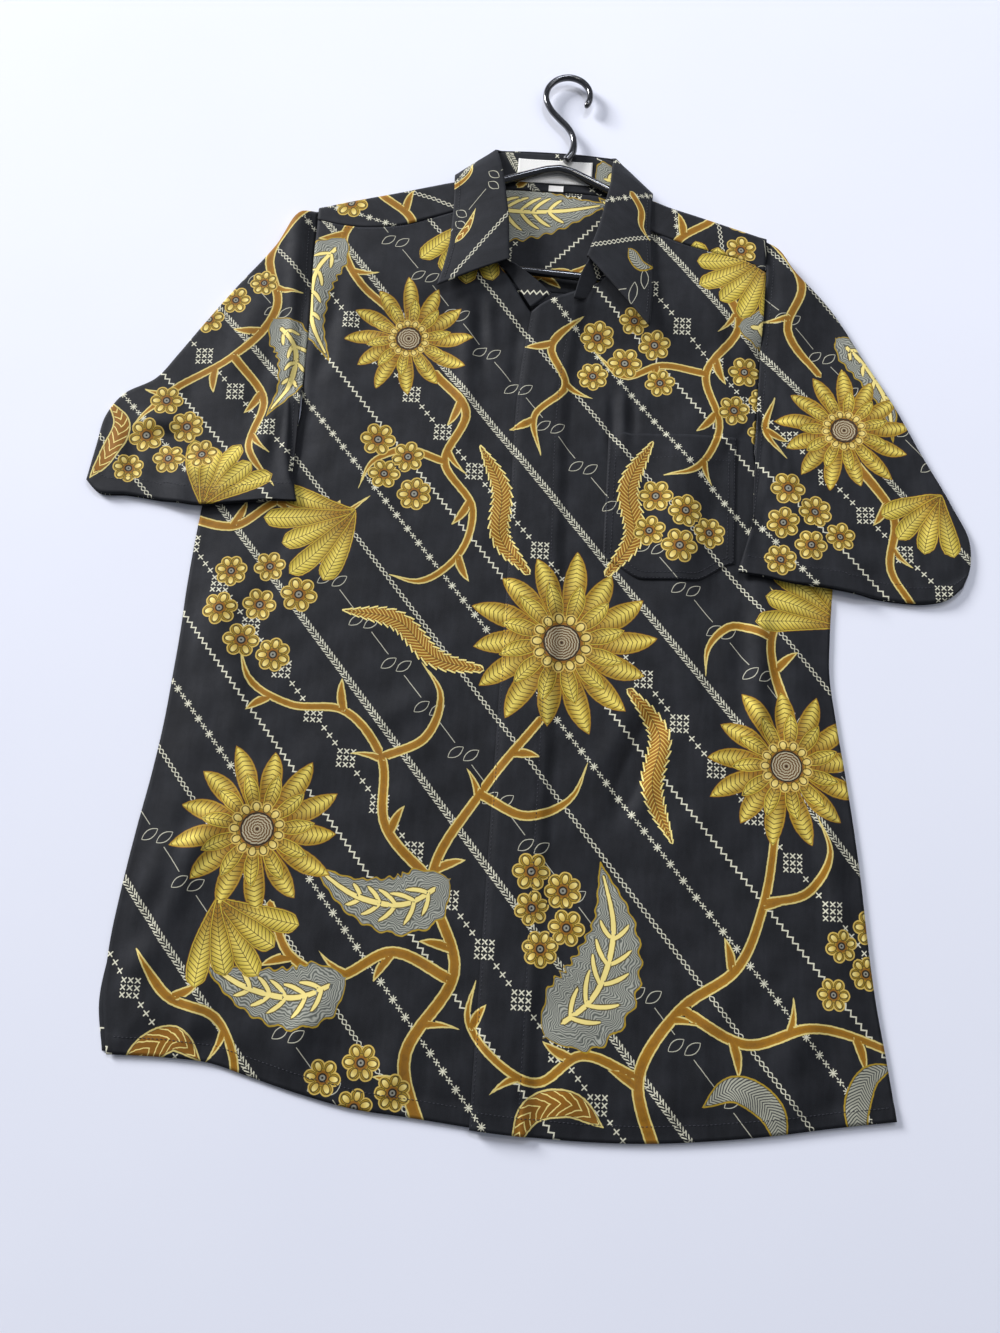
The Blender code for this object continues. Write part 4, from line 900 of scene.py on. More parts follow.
# sleeves, as they lie (their cloth is turned a little against the body's)
LEFT_SLEEVE = []
LEFT_SLEEVE += stem([(-212, 326), (-238, 276), (-226, 228), (-256, 178), (-296, 150), (-332, 108)], 4.4, 3.0, [(0.15, -1, 24, 46), (0.33, 1, 26, 48), (0.5, -1, 26, 46), (0.68, 1, 24, 48), (0.86, -1, 22, 46)], tips=(0, 1))
LEFT_SLEEVE += stem([(-256, 178), (-226, 140), (-232, 96), (-206, 62)], 4.0, 2.8, [(0.3, -1, 24, 48), (0.6, 1, 24, 48)], tips=(0, 1))
LEFT_SLEEVE += cluster([(-306, 134), (-286, 112), (-318, 102), (-296, 82), (-328, 72), (-270, 88)])
LEFT_SLEEVE += cluster([(-262, 232), (-240, 250), (-282, 212)], 13.5)
LEFT_SLEEVE += grey_leaf([(-226, 214), (-206, 190), (-206, 160), (-222, 124)], 18, 4)
LEFT_SLEEVE += fan(-262, 42, 112, -74, 5, 60, 7.6, -14)
LEFT_SLEEVE += [blade([(-352, 128), (-340, 112), (-346, 84), (-358, 60)], 8, "hook", "ochre", "b")]
RIGHT_SLEEVE = []
RIGHT_SLEEVE += stem([(190, 326), (216, 276), (204, 236), (232, 196)], 4.3, 3.2, [(0.3, 1, 26, 48), (0.6, -1, 26, 48)])
RIGHT_SLEEVE += flower(252, 148, 54, 13, 8)
RIGHT_SLEEVE += stem([(262, 118), (292, 72), (288, 30), (306, -2)], 4.2, 3.0, [(0.3, -1, 24, 48), (0.6, 1, 24, 48)])
RIGHT_SLEEVE += cluster([(206, 92), (228, 74), (202, 62), (224, 44), (200, 30), (248, 54)])
RIGHT_SLEEVE += fan(330, 96, 196, 76, 4, 56, 7.8, 14)
RIGHT_SLEEVE += stem([(196, 176), (188, 140), (206, 118)], 3.8, 2.6, [(0.5, 1, 22, 48)], tips=(1, 1))
RIGHT_SLEEVE += grey_leaf([(248, 232), (272, 206), (288, 174), (292, 138)], 15, 4)

# yoke: seen on the shoulders and inside the neck
YOKE = []
YOKE += grey_leaf([(82, 352), (40, 341), (-6, 343), (-52, 354)], 33, 6) + grey_leaf([(-102, 350), (-80, 341), (-58, 345), (-40, 360)], 22, 3)
YOKE += stem([(-150, 424), (-130, 384), (-142, 340), (-110, 300), (-122, 256)], 4.2, 3.0, [(0.3, 1, 24, 48), (0.6, -1, 24, 48)])
YOKE += stem([(160, 424), (140, 386), (152, 340), (122, 306), (132, 260)], 4.2, 3.0, [(0.3, -1, 24, 48), (0.6, 1, 24, 48)])
YOKE += stem([(26, 254), (12, 274), (-18, 284), (-40, 272)], 4.2, 2.4, [(0.4, 1, 22, 48), (0.75, -1, 20, 48)], tips=(1, 1))
YOKE += cluster([(-178, 356), (-162, 330), (178, 346), (166, 320)])
YOKE += fan(-186, 414, -126, 76, 5, 60, 7.8, 14)

# back: its own spread of the same kinds of motif
BACK = []
for sx, sy, m in ((-150, 120, 1), (120, -60, -1), (-110, -260, 1)):
    BACK += stem([(sx - m * 20, sy - 150), (sx, sy - 90), (sx - m * 26, sy - 30), (sx + m * 8, sy + 36), (sx - m * 6, sy + 96)], 4.6, 3.0,
                 [(0.2, m, 26, 48), (0.4, -m, 28, 48), (0.6, m, 26, 48), (0.82, -m, 24, 46)], tips=(1, 1))
    BACK += stem([(sx, sy - 90), (sx + m * 46, sy - 72), (sx + m * 92, sy - 82), (sx + m * 138, sy - 62)], 4.2, 2.6, [(0.35, 1, 26, 48), (0.7, -1, 24, 48)], tips=(0, 1))
    BACK += cluster([(sx + m * 40 + 26 * math.cos(0.9 * k) * (1 + k / 9), sy + 30 - 23 * k) for k in range(6)])
    BACK += cluster([(sx - m * 54, sy + 60), (sx - m * 76, sy + 40), (sx - m * 62, sy + 14), (sx - m * 84, sy - 6)])
    BACK += flower(sx + m * 140, sy + 40, 62, 13, 5)
    BACK += grey_leaf([(sx - m * 30, sy - 120), (sx - m * 62, sy - 90), (sx - m * 72, sy - 34)], 26, 4)
    BACK += fan(sx + m * 60, sy + 110, 80, -m * 80, 6, 74, 10.5, 12 * m)
    BACK += fern([(sx + m * 20, sy + 60), (sx + m * 50, sy + 76), (sx + m * 66, sy + 50), (sx + m * 58, sy + 4)], 10, "c")
BACK += flower(158, 176, 58, 13, 0) + flower(200, -290, 58, 13, 9) + flower(-232, -70, 52, 12, 3)
BACK += cluster([(128, -186), (152, -200), (134, -224), (160, -238), (60, -318), (84, -332), (66, -354)])

# collar: sparse, as cut from between the large motifs
COLLAR_PRINT = []
COLLAR_PRINT += [blade([(-34, -50), (-44, -40), (-62, -30)], 4.0, "leaf", "ochre", "a")]
COLLAR_PRINT += twig([(-104, -64), (-98, -48), (-104, -34), (-118, -28)], 4.0) + twig([(-150, -30), (-160, -44), (-176, -50)], 3.8)
COLLAR_PRINT += twig([(-262, -24), (-272, -36), (-288, -40), (-296, -52)], 4.0)
COLLAR_PRINT += [blade([(-316, -34), (-322, -48), (-316, -62)], 6.0, "leaf", "hatch", "b")]
COLLAR_PRINT += twig([(-236, -62), (-232, -46), (-220, -34)], 3.6)
STAND_PRINT = []
STAND_PRINT += grey_leaf([(-262, -18), (-282, -20), (-300, -16), (-330, -20)], 22, 3)
STAND_PRINT += grey_leaf([(-150, -14), (-132, -20), (-116, -14), (-92, -18)], 16, 3)
STAND_PRINT += twig([(-196, -4), (-206, -20), (-222, -30)], 3.6) + twig([(-60, -8), (-46, -20), (-30, -18)], 3.6)
YOKE_SHIFT = (20.0, 0.0)
COLLAR_SHIFT = (-37.6, -33.0)


def half_width(m, share):
    if "end" in m:
        long = np.sqrt((np.diff(m["line"], axis=0) ** 2).sum(1)).sum()
        first = np.clip(share * long / 30, 0, 1) ** 0.75 if m["tips"][0] else 1.0
        last = np.clip((1 - share) * long / 30, 0, 1) ** 0.75 if m["tips"][1] else 1.0
        return (m["wide"] + (m["end"] - m["wide"]) * share) * first * last
    return m["wide"] * np.clip(value(PROFILES[m["profile"]], share), 0, None).reshape(np.shape(share))


def measure(m, pts):
    """Length along, signed distance from the spine and half width, at points (n, 2)."""
    line = m["line"]
    a, b = line[:-1], line[1:]
    d = b - a
    long2 = (d**2).sum(1)
    run = np.concatenate([[0], np.cumsum(np.sqrt(long2))])
    rel = pts[:, None, :] - a[None]
    s = np.clip((rel * d[None]).sum(2) / long2[None], 0, 1)
    near = rel - s[..., None] * d[None]
    dist2 = (near**2).sum(2)
    k = dist2.argmin(1)
    row = np.arange(len(pts))
    dist = np.sqrt(dist2[row, k])
    side = np.sign(d[k, 0] * rel[row, k, 1] - d[k, 1] * rel[row, k, 0])
    side[side == 0] = 1
    at = run[k] + s[row, k] * np.sqrt(long2[k])
    # past either end there is nothing, whichever side of the line a point is on
    share = (rel[row, k] * d[k]).sum(1) / long2[k]
    past = np.where(k == 0, np.maximum(-share, 0), 0) + np.where(k == len(a) - 1, np.maximum(share - 1, 0), 0)
    wide = half_width(m, at / run[-1]) - 1.6 * past * np.sqrt(long2[k])
    return at, side * dist, wide, run[-1]


def corner_attribute(ob, name, data):
    a = ob.data.attributes.new(name, "FLOAT_VECTOR", "CORNER")
    a.data.foreach_set("vector", np.ascontiguousarray(data, np.float32).ravel())


def dye(ob, motifs, offset=(0.0, 0.0)):
    """Writes, at every face corner, where it is on the cloth and on the motif of each layer."""
    at = CLOTH_AT[ob.name]
    n = len(at)
    centre = at.mean(1)
    flat = np.zeros((n, 4, 3))
    flat[..., :2] = at
    flat[..., 0] += offset[0]
    flat[..., 1] += offset[1]
    corner_attribute(ob, "cloth", flat)
    for layer in ("vine", "leaf", "coral", "a", "b", "c"):
        mine = [m for m in motifs if m.get("layer") == layer]
        best = np.full(n, 6.5)
        which = np.full(n, -1)
        for k, m in enumerate(mine):
            reach = m["wide"] + 8
            low, high = m["line"].min(0) - reach, m["line"].max(0) + reach
            near = np.nonzero((centre > low).all(1) & (centre < high).all(1))[0]
            if len(near) == 0:
                continue
            _, d, w, _ = measure(m, centre[near])
            e = np.abs(d) - w
            closer = e < best[near]
            best[near[closer]] = e[closer]
            which[near[closer]] = k
        one = np.zeros((n, 4, 3))
        one[..., 1] = FAR
        two = np.zeros((n, 4, 3))
        two[..., 2] = 5.0
        three = np.zeros((n, 4, 3))
        for k, m in enumerate(mine):
            f = np.nonzero(which == k)[0]
            if len(f) == 0:
                continue
            s, d, w, long = measure(m, at[f].reshape(-1, 2))
            one[f] = np.stack([s, d, w], 1).reshape(-1, 4, 3)
            code, serration, pitch, slope, duty = STYLES[m["style"]]
            two[f] = (code, serration, pitch)
            three[f] = (slope, duty, long)
        corner_attribute(ob, layer + "_1", one)
        if layer in "abc":
            corner_attribute(ob, layer + "_2", two)
            corner_attribute(ob, layer + "_3", three)
    roses = [m["rose"] for m in motifs if "rose" in m]
    one = np.full((n, 4, 3), FAR)
    one[..., 2] = 1.0
    two = np.zeros((n, 4, 3))
    two[..., 0] = 6
    if roses:
        best = np.full(n, 6.0)
        which = np.full(n, -1)
        for k, r in enumerate(roses):
            e = np.hypot(centre[:, 0] - r[0], centre[:, 1] - r[1]) - r[2]
            closer = e < best
            best[closer], which[closer] = e[closer], k
        for k, (x, y, r, petals, phase, kind) in enumerate(roses):
            f = which == k
            one[f] = np.dstack([at[f][..., 0] - x, at[f][..., 1] - y, np.full(at[f].shape[:2], r)])
            two[f] = (petals, phase, kind)
    corner_attribute(ob, "rose_1", one)
    corner_attribute(ob, "rose_2", two)


def moved(motifs, degrees, dx, dy):
    """The same motifs where a turned piece of cloth carries them."""
    out = []
    for m in motifs:
        if "line" in m:
            out.append(dict(m, line=turned(m["line"], degrees, dx, dy)))
        else:
            out.append({"rose": (*turned(np.array(m["rose"][:2]), degrees, dx, dy), *m["rose"][2:])})
    return out


dye(cloth_front_right, BODY)
dye(cloth_front_left, BODY)
dye(cloth_pocket, BODY)
dye(cloth_sleeve_right, moved(LEFT_SLEEVE, -3.1, 80.5, 60.2))
dye(cloth_sleeve_left, moved(RIGHT_SLEEVE, -3.1, -12.6, 8.9))
dye(cloth_yoke, YOKE, YOKE_SHIFT)
dye(cloth_back, BACK, YOKE_SHIFT)
dye(cloth_collar_fall, COLLAR_PRINT, COLLAR_SHIFT)
dye(cloth_collar_stand, STAND_PRINT, (0.0, 0.0))


# =====================================================================================
# 5. Materials
# =====================================================================================
def colour(code):
    """sRGB hex to linear."""
    out = []
    for i in (0, 2, 4):
        c = int(code[i:i + 2], 16) / 255
        out.append(c / 12.92 if c <= 0.04045 else ((c + 0.055) / 1.055) ** 2.4)
    return (*out, 1.0)


class Term:
    """A number worked out by shader nodes."""

    tree = None

    def __init__(self, socket):
        self.s = socket

    @staticmethod
    def math(op, *values, clamp=False):
        node = Term.tree.nodes.new("ShaderNodeMath")
        node.operation = op
        node.use_clamp = clamp
        for k, v in enumerate(values):
            if isinstance(v, Term):
                Term.tree.links.new(v.s, node.inputs[k])
            else:
                node.inputs[k].default_value = float(v)
        return Term(node.outputs[0])

    def __add__(self, o): return Term.math("ADD", self, o)
    def __radd__(self, o): return Term.math("ADD", o, self)
    def __sub__(self, o): return Term.math("SUBTRACT", self, o)
    def __rsub__(self, o): return Term.math("SUBTRACT", o, self)
    def __mul__(self, o): return Term.math("MULTIPLY", self, o)
    def __rmul__(self, o): return Term.math("MULTIPLY", o, self)
    def __truediv__(self, o): return Term.math("DIVIDE", self, o)
    def __rtruediv__(self, o): return Term.math("DIVIDE", o, self)
    def __neg__(self): return Term.math("MULTIPLY", self, -1.0)
    def __abs__(self): return Term.math("ABSOLUTE", self)


def fma(a, b, c): return Term.math("MULTIPLY_ADD", a, b, c)
def low(a, b): return Term.math("MINIMUM", a, b)
def high(a, b): return Term.math("MAXIMUM", a, b)
def fract(a): return Term.math("FRACT", a)
def sine(a): return Term.math("SINE", a)
def cosine(a): return Term.math("COSINE", a)
def root(a): return Term.math("SQRT", a)
def same(a, b): return Term.math("COMPARE", a, b, 0.5)
def under(a, soft=0.34): return Term.math("MULTIPLY_ADD", a, -1.0 / soft, 0.5, clamp=True)
def over(a, soft=0.34): return Term.math("MULTIPLY_ADD", a, 1.0 / soft, 0.5, clamp=True)
def length2(a, b): return root(fma(a, a, b * b))


def wrap(a, period):
    """a brought to -period/2 ... period/2."""
    return Term.math("WRAP", a, -period / 2, period / 2)


def split(socket):
    node = Term.tree.nodes.new("ShaderNodeSeparateXYZ")
    Term.tree.links.new(socket, node.inputs[0])
    return [Term(o) for o in node.outputs]


def attribute(name):
    node = Term.tree.nodes.new("ShaderNodeAttribute")
    node.attribute_type = "GEOMETRY"
    node.attribute_name = name
    return node.outputs["Vector"]


def mix(share, a, b):
    """Colours a to b by share."""
    node = Term.tree.nodes.new("ShaderNodeMix")
    node.data_type = "RGBA"
    node.clamp_factor = True
    for index, v in ((0, share), (6, a), (7, b)):
        if isinstance(v, Term):
            Term.tree.links.new(v.s, node.inputs[index])
        elif isinstance(v, (int, float)):
            node.inputs[index].default_value = float(v)
        else:
            node.inputs[index].default_value = v
    return Term(node.outputs[2])


def choose(code, colours):
    """One of a row of colours by a whole number."""
    node = Term.tree.nodes.new("ShaderNodeValToRGB")
    ramp = node.color_ramp
    ramp.interpolation = "CONSTANT"
    while len(ramp.elements) < len(colours):
        ramp.elements.new(0.5)
    for k, c in enumerate(colours):
        ramp.elements[k].position = k / len(colours)
        ramp.elements[k].color = c
    Term.tree.links.new(((code + 0.5) / len(colours)).s, node.inputs[0])
    return Term(node.outputs[0])


def noise(vector, scale, detail=2.0, rough=0.5):
    node = Term.tree.nodes.new("ShaderNodeTexNoise")
    node.inputs["Scale"].default_value = scale
    node.inputs["Detail"].default_value = detail
    node.inputs["Roughness"].default_value = rough
    if vector is not None:
        Term.tree.links.new(vector, node.inputs["Vector"])
    return Term(node.outputs[0])


def new_material(name):
    m = bpy.data.materials.new(name)
    m.use_nodes = True
    Term.tree = m.node_tree
    return m, m.node_tree, m.node_tree.nodes["Principled BSDF"]


def small_x(a, b, arm, reach):
    a, b = abs(a), abs(b)
    return low(under(abs(a - b) - arm), under(high(a, b) - reach))


GOLD, BRIGHT = colour("a58820"), colour("bda633")
OCHRE, BROWN = colour("8c5c0c"), colour("5c3a0c")
OUTLINE, CREAM = colour("d6c376"), colour("dcd9c0")
GREY, SLATE = colour("a9a996"), colour("3c3d3c")
OLIVE, INK = colour("4b3c0f"), colour("221b0c")
STRAW = colour("f0dc86")


def paint(layer, cloth_vec, jitter, under_colour, grain):
    """One layer of blades over what is below it."""
    s, d, w = split(attribute(layer + "_1"))
    code, serration, pitch = split(attribute(layer + "_2"))
    slope, duty, long = split(attribute(layer + "_3"))
    d = abs(d)
    tooth = 1.0 - serration * fract(s / 6.5)
    e = d - w * tooth + jitter
    line = fma(d, slope, s) / pitch
    off = abs(fract(line + grain * 0.35) - 0.5) * pitch  # mm from the middle between two lines
    stroke = under(off - duty * pitch * 0.5, 0.4)
    rib = low(under(d - 0.28), under(abs(code - 1.5) - 0.9, 0.4))
    base = choose(code, [GOLD, BRIGHT, OCHRE, GREY, OCHRE, GREY])
    reach = s / high(long, 1.0)
    petal = under(code - 1.5, 0.5)
    base = mix(over(0.50 - reach, 0.55) * petal * 0.8, base, OCHRE)
    base = mix(under(d / high(w, 1.0) - 0.42, 0.6) * over(reach - 0.42, 0.4) * petal * 0.85, base, colour("ecd766"))
    base = mix(over(d / high(w, 1.0) - 0.8, 0.3) * petal * 0.5, base, OCHRE)
    inner = mix(stroke, base, choose(code, [OLIVE, OLIVE, colour("d9bb5a"), SLATE, STRAW, SLATE]))
    inner = mix(rib * 0.85, inner, OLIVE)
    inner = mix(over(e + 1.55, 0.3) * under(abs(code - 4.0) - 3.5, 0.3) * 0.75, inner, INK)
    inner = mix(over(e + 1.15, 0.3), inner, choose(code, [GOLD, BRIGHT, STRAW, GOLD, OUTLINE, GOLD]))
    inner = mix(over(e + 0.42, 0.3) * under(code - 1.5, 0.5), inner, OCHRE)
    return mix(under(e), under_colour, inner)


batik, tree, bsdf = new_material("batik_cotton_print")
cloth_vec = attribute("cloth")
X, Y, _ = split(cloth_vec)
grain = noise(cloth_vec, 0.22, 2.0)
hand = (noise(cloth_vec, 0.35, 1.0) - 0.5) * 0.9
jitter = hand * 0.8

# stripes of small ornaments, slantwise
p = X * 0.659 - Y * 0.752 + hand * 0.5
q = X * 0.752 + Y * 0.659 + hand * 0.4
t = (q + 266.4) / 36.2 + 600.0
number = Term.math("FLOOR", t + 0.5)
u = (t - number) * 36.2
kind = Term.math("MODULO", number, 6.0)
au = abs(u)

a = wrap(p, 15.0)
r = length2(a, u)
star = under(r - (2.0 + 1.15 * cosine(8.0 * Term.math("ARCTAN2", u, a))))
star = high(star, small_x(wrap(p + 7.5, 15.0), u, 0.5, 1.7))
star = high(star, low(under(abs(abs(wrap(p, 15.0)) - 4.6) - 0.75), under(au - 0.45)))

zig = under(abs(u - (abs(wrap(p, 5.7)) * (4.0 / 5.7) - 1.0) * 1.5) - 0.72)

P = wrap(p + 11.0, 43.5)
dx, dy = P * 0.659 + u * 0.752, u * 0.659 - P * 0.752
block = small_x(wrap(dx, 5.1), wrap(dy, 5.1), 0.62, 1.95) * under(high(abs(dx), abs(dy)) - 7.4)
P2 = wrap(p + 11.0 + 21.75, 43.5)
step_p = wrap(P2, 7.2)
three = small_x(step_p * 0.659 + u * 0.752, u * 0.659 - step_p * 0.752, 0.62, 2.0) * under(abs(P2) - 10.6)
grid_x = high(block, three)

side_u = under(u, 0.1)
braid = under(abs(wrap(fma(au, 1.35, p) + side_u * 1.6, 3.2)) - 0.66) * under(au - 2.7) * over(au - 0.3)
braid = high(braid, under(abs(abs(wrap(p, 12.8)) - 3.2) - 0.4) * under(au - 2.9) * 0.8)

Q = wrap(p + 4.0, 43.5)
lx, ly = Q * 0.659 + u * 0.752, u * 0.659 - Q * 0.752


def leaf_line(cx, cy, angle):
    c, s = math.cos(math.radians(angle)), math.sin(math.radians(angle))
    ax, ay = lx - cx, ly - cy
    along_, across_ = ax * c + ay * s, ay * c - ax * s
    edge = abs(abs(across_) - (3.3 - along_ * along_ * 0.068))
    return low(under(edge - 0.27), under(abs(along_) - 7.0))


leaves = high(leaf_line(-5.9, 0.8, 38.0), leaf_line(5.9, -0.8, 38.0))
leaves = high(leaves, low(under(au - 0.26), over(abs(Q) - 10.5)) * 0.9)

swing = sine(p * (2 * math.pi / 9.0)) * 1.5
chain = high(under(abs(u - swing) - 0.36), under(abs(u + swing) - 0.36))

bands = same(kind, 0) * star + same(kind, 1) * zig + same(kind, 2) * grid_x
bands = bands + same(kind, 3) * braid + same(kind, 4) * leaves * 0.85 + same(kind, 5) * chain

soil = noise(cloth_vec, 0.012, 3.0)
ground = mix(soil, colour("0b0c0f"), colour("14161a"))
stretch = tree.nodes.new("ShaderNodeMapping")
stretch.inputs["Scale"].default_value = (1.0, 0.16, 1.0)
tree.links.new(cloth_vec, stretch.inputs["Vector"])
slub = noise(stretch.outputs[0], 0.16, 3.0, 0.6)
ground = mix(over(slub - 0.56, 0.3) * 0.5, ground, colour("1f2125"))
surface = mix(bands * 0.94, ground, CREAM)

# woody stems
vs, vd, vw = split(attribute("vine_1"))
ve = abs(vd) - vw + jitter
wood = mix(over(grain - 0.25, 0.6), colour("704b07"), colour("8f620c"))
wood = mix(over(ve + 2.2, 1.6) * 0.6, wood, colour("a6760f"))
wood = mix(over(ve + 1.1, 0.3), wood, OUTLINE)
surface = mix(under(ve), surface, wood)

# broad grey leaves, hatched along their outline
ls, ld, lw = split(attribute("leaf_1"))
lobed = lw * (0.94 + 0.06 * sine(ls * 0.55))
le = abs(ld) - lobed + jitter
wave = noise(cloth_vec, 0.075, 2.0)
hatch = over(abs(wrap(le * 0.9 + wave * 13.0 + ls * 0.05, 1.7)) - 0.4, 0.5)
grey = mix(hatch, colour("a9aa9c"), colour("585b54"))
grey = mix(over(le + 1.9, 0.3) * 0.6, grey, SLATE)
grey = mix(over(le + 1.2, 0.3), grey, GOLD)
surface = mix(under(le), surface, grey)
ks, kd, kw = split(attribute("coral_1"))
ke = abs(kd) - kw + jitter * 0.6
surface = mix(under(ke - 0.75), surface, OLIVE)
surface = mix(under(ke), surface, STRAW)

for layer in "abc":
    surface = paint(layer, cloth_vec, jitter, surface, grain)

# small flowers and the buttons of the large ones
rx, ry, R = split(attribute("rose_1"))
petals, phase, big = split(attribute("rose_2"))
rr = length2(rx, ry)
angle = Term.math("ARCTAN2", ry, rx) + phase
pace = 2 * math.pi / high(petals, 3.0)
half_pace = pace * 0.5
sector = Term.math("WRAP", angle, -1.0 * half_pace, half_pace)
centre_at = R * (0.62 + big * 0.2)
px_, py_ = fma(rr, cosine(sector), -1.0 * centre_at), rr * sine(sector)
ring = length2(px_, py_) - R * (0.37 - big * 0.17)
re = low(ring, rr - R * (0.55 + big * 0.25)) + jitter * 0.7
drop_x, drop_y = (px_ + R * 0.02) / (0.25 - big * 0.09), py_ / (0.155 - big * 0.035)
drop = length2(drop_x, drop_y) / R - 1.0  # in shares of its own size
bloom = mix(over(re + 2.4, 1.2), OCHRE, GOLD)
bloom = mix(under(abs(drop) - 0.17, 0.16), bloom, OLIVE)
bloom = mix(under(drop + 0.1, 0.16), bloom, mix(over(px_ / R + 0.02, 0.3), colour("c9a94a"), STRAW))
bloom = mix(under(abs(re + 1.35) - 0.22), bloom, OLIVE)
bloom = mix(over(re + 0.95, 0.3), bloom, colour("cfb055"))
eye = rr - R * (0.235 + big * 0.375)
dome = mix(over(abs(wrap(rr + sector * 1.5, 2.1)) - 0.5, 0.4), colour("b3a98a"), BROWN)
bloom = mix(under(eye), bloom, INK)
bloom = mix(under(eye + 1.15), bloom, mix(big, colour("8d8b7c"), dome))
bloom = mix(under(rr - 0.8), bloom, INK)
surface = mix(under(re), surface, bloom)

# woven cotton: threads, slubs and a little fading
fade = noise(cloth_vec, 0.045, 4.0, 0.6)
surface = mix(over(fade - 0.62, 0.5) * 0.06, surface, colour("70727c"))
thread = noise(cloth_vec, 2.6, 2.0)
surface = mix((thread - 0.44) * 0.16, surface, colour("8a8c93"))
tree.links.new(surface.s, bsdf.inputs["Base Color"])
rough = fma(grain, 0.12, 0.66)
tree.links.new(rough.s, bsdf.inputs["Roughness"])
weave = sine(X * (2 * math.pi / 0.5)) * sine(Y * (2 * math.pi / 0.5)) * 0.5 + noise(cloth_vec, 0.8, 3.0) * 1.2
bump = tree.nodes.new("ShaderNodeBump")
bump.inputs["Strength"].default_value = 0.35
bump.inputs["Distance"].default_value = 0.00012
tree.links.new(weave.s, bump.inputs["Height"])
tree.links.new(bump.outputs[0], bsdf.inputs["Normal"])
bsdf.inputs["Specular IOR Level"].default_value = 0.22
bsdf.inputs["Sheen Weight"].default_value = 0.08
bsdf.inputs["Sheen Roughness"].default_value = 0.45
bsdf.inputs["Sheen Tint"].default_value = colour("bcc0cb")


def object_vector():
    return Term.tree.nodes.new("ShaderNodeTexCoord").outputs["Object"]


def bumped(tree, bsdf, height, strength, distance_m):
    bump = tree.nodes.new("ShaderNodeBump")
    bump.inputs["Strength"].default_value = strength
    bump.inputs["Distance"].default_value = distance_m
    tree.links.new(height.s, bump.inputs["Height"])
    tree.links.new(bump.outputs[0], bsdf.inputs["Normal"])


tape, tree, bsdf = new_material("white_tape_woven")
at = object_vector()
tx, ty, _ = split(at)
warp = sine(tx * (2 * math.pi / 0.0006)) * sine(ty * (2 * math.pi / 0.0009))
tree.links.new(mix(noise(at, 900.0, 3.0) * 0.5 + warp * 0.1, colour("f1efe9"), colour("c9c6bf")).s, bsdf.inputs["Base Color"])
bsdf.inputs["Roughness"].default_value = 0.72
bsdf.inputs["Sheen Weight"].default_value = 0.2
bumped(tree, bsdf, warp + noise(at, 700.0, 2.0), 0.4, 0.0001)

plastic, tree, bsdf = new_material("black_plastic_moulded")
at = object_vector()
tree.links.new(mix(noise(at, 60.0, 3.0), colour("0d0d10"), colour("1a1b20")).s, bsdf.inputs["Base Color"])
tree.links.new((noise(at, 180.0, 4.0) * 0.14 + 0.12).s, bsdf.inputs["Roughness"])
bsdf.inputs["Coat Weight"].default_value = 0.9
bumped(tree, bsdf, noise(at, 260.0, 2.0), 0.12, 0.0002)

resin, tree, bsdf = new_material("black_button_resin")
at = object_vector()
tree.links.new(mix(noise(at, 240.0, 4.0, 0.7), colour("121216"), colour("2d2d35")).s, bsdf.inputs["Base Color"])
tree.links.new((noise(at, 300.0, 2.0) * 0.15 + 0.18).s, bsdf.inputs["Roughness"])
bsdf.inputs["Coat Weight"].default_value = 0.3
bumped(tree, bsdf, noise(at, 500.0, 2.0), 0.1, 0.0001)

sewing, tree, bsdf = new_material("sewing_thread")
at = object_vector()
tree.links.new(mix(noise(at, 1500.0, 2.0), colour("14151b"), colour("34363f")).s, bsdf.inputs["Base Color"])
bsdf.inputs["Roughness"].default_value = 0.5
bumped(tree, bsdf, noise(at, 3000.0, 1.0), 0.4, 0.0001)
tape_thread, tree, bsdf = new_material("label_thread")
at = object_vector()
tree.links.new(mix(noise(at, 1500.0, 2.0), colour("8d8a84"), colour("b5b2aa")).s, bsdf.inputs["Base Color"])
bsdf.inputs["Roughness"].default_value = 0.6
bumped(tree, bsdf, noise(at, 3000.0, 1.0), 0.4, 0.0001)

CLOTHS = [cloth_front_right, cloth_front_left, cloth_back, cloth_yoke, cloth_sleeve_right, cloth_sleeve_left, cloth_collar_stand, cloth_collar_fall, cloth_pocket]
for ob in CLOTHS:
    ob.data.materials.append(batik)


# =====================================================================================
# 6. Hanger, labels, buttons and sewing
# =====================================================================================
def mesh_object(name, points, faces, material, smooth=True):
    me = bpy.data.meshes.new(name)
    me.from_pydata([tuple(p) for p in points], [], faces)
    me.materials.append(material)
    me.update()
    me.polygons.foreach_set("use_smooth", np.full(len(me.polygons), smooth))
    ob = bpy.data.objects.new(name, me)
    bpy.context.scene.collection.objects.link(ob)
    return ob


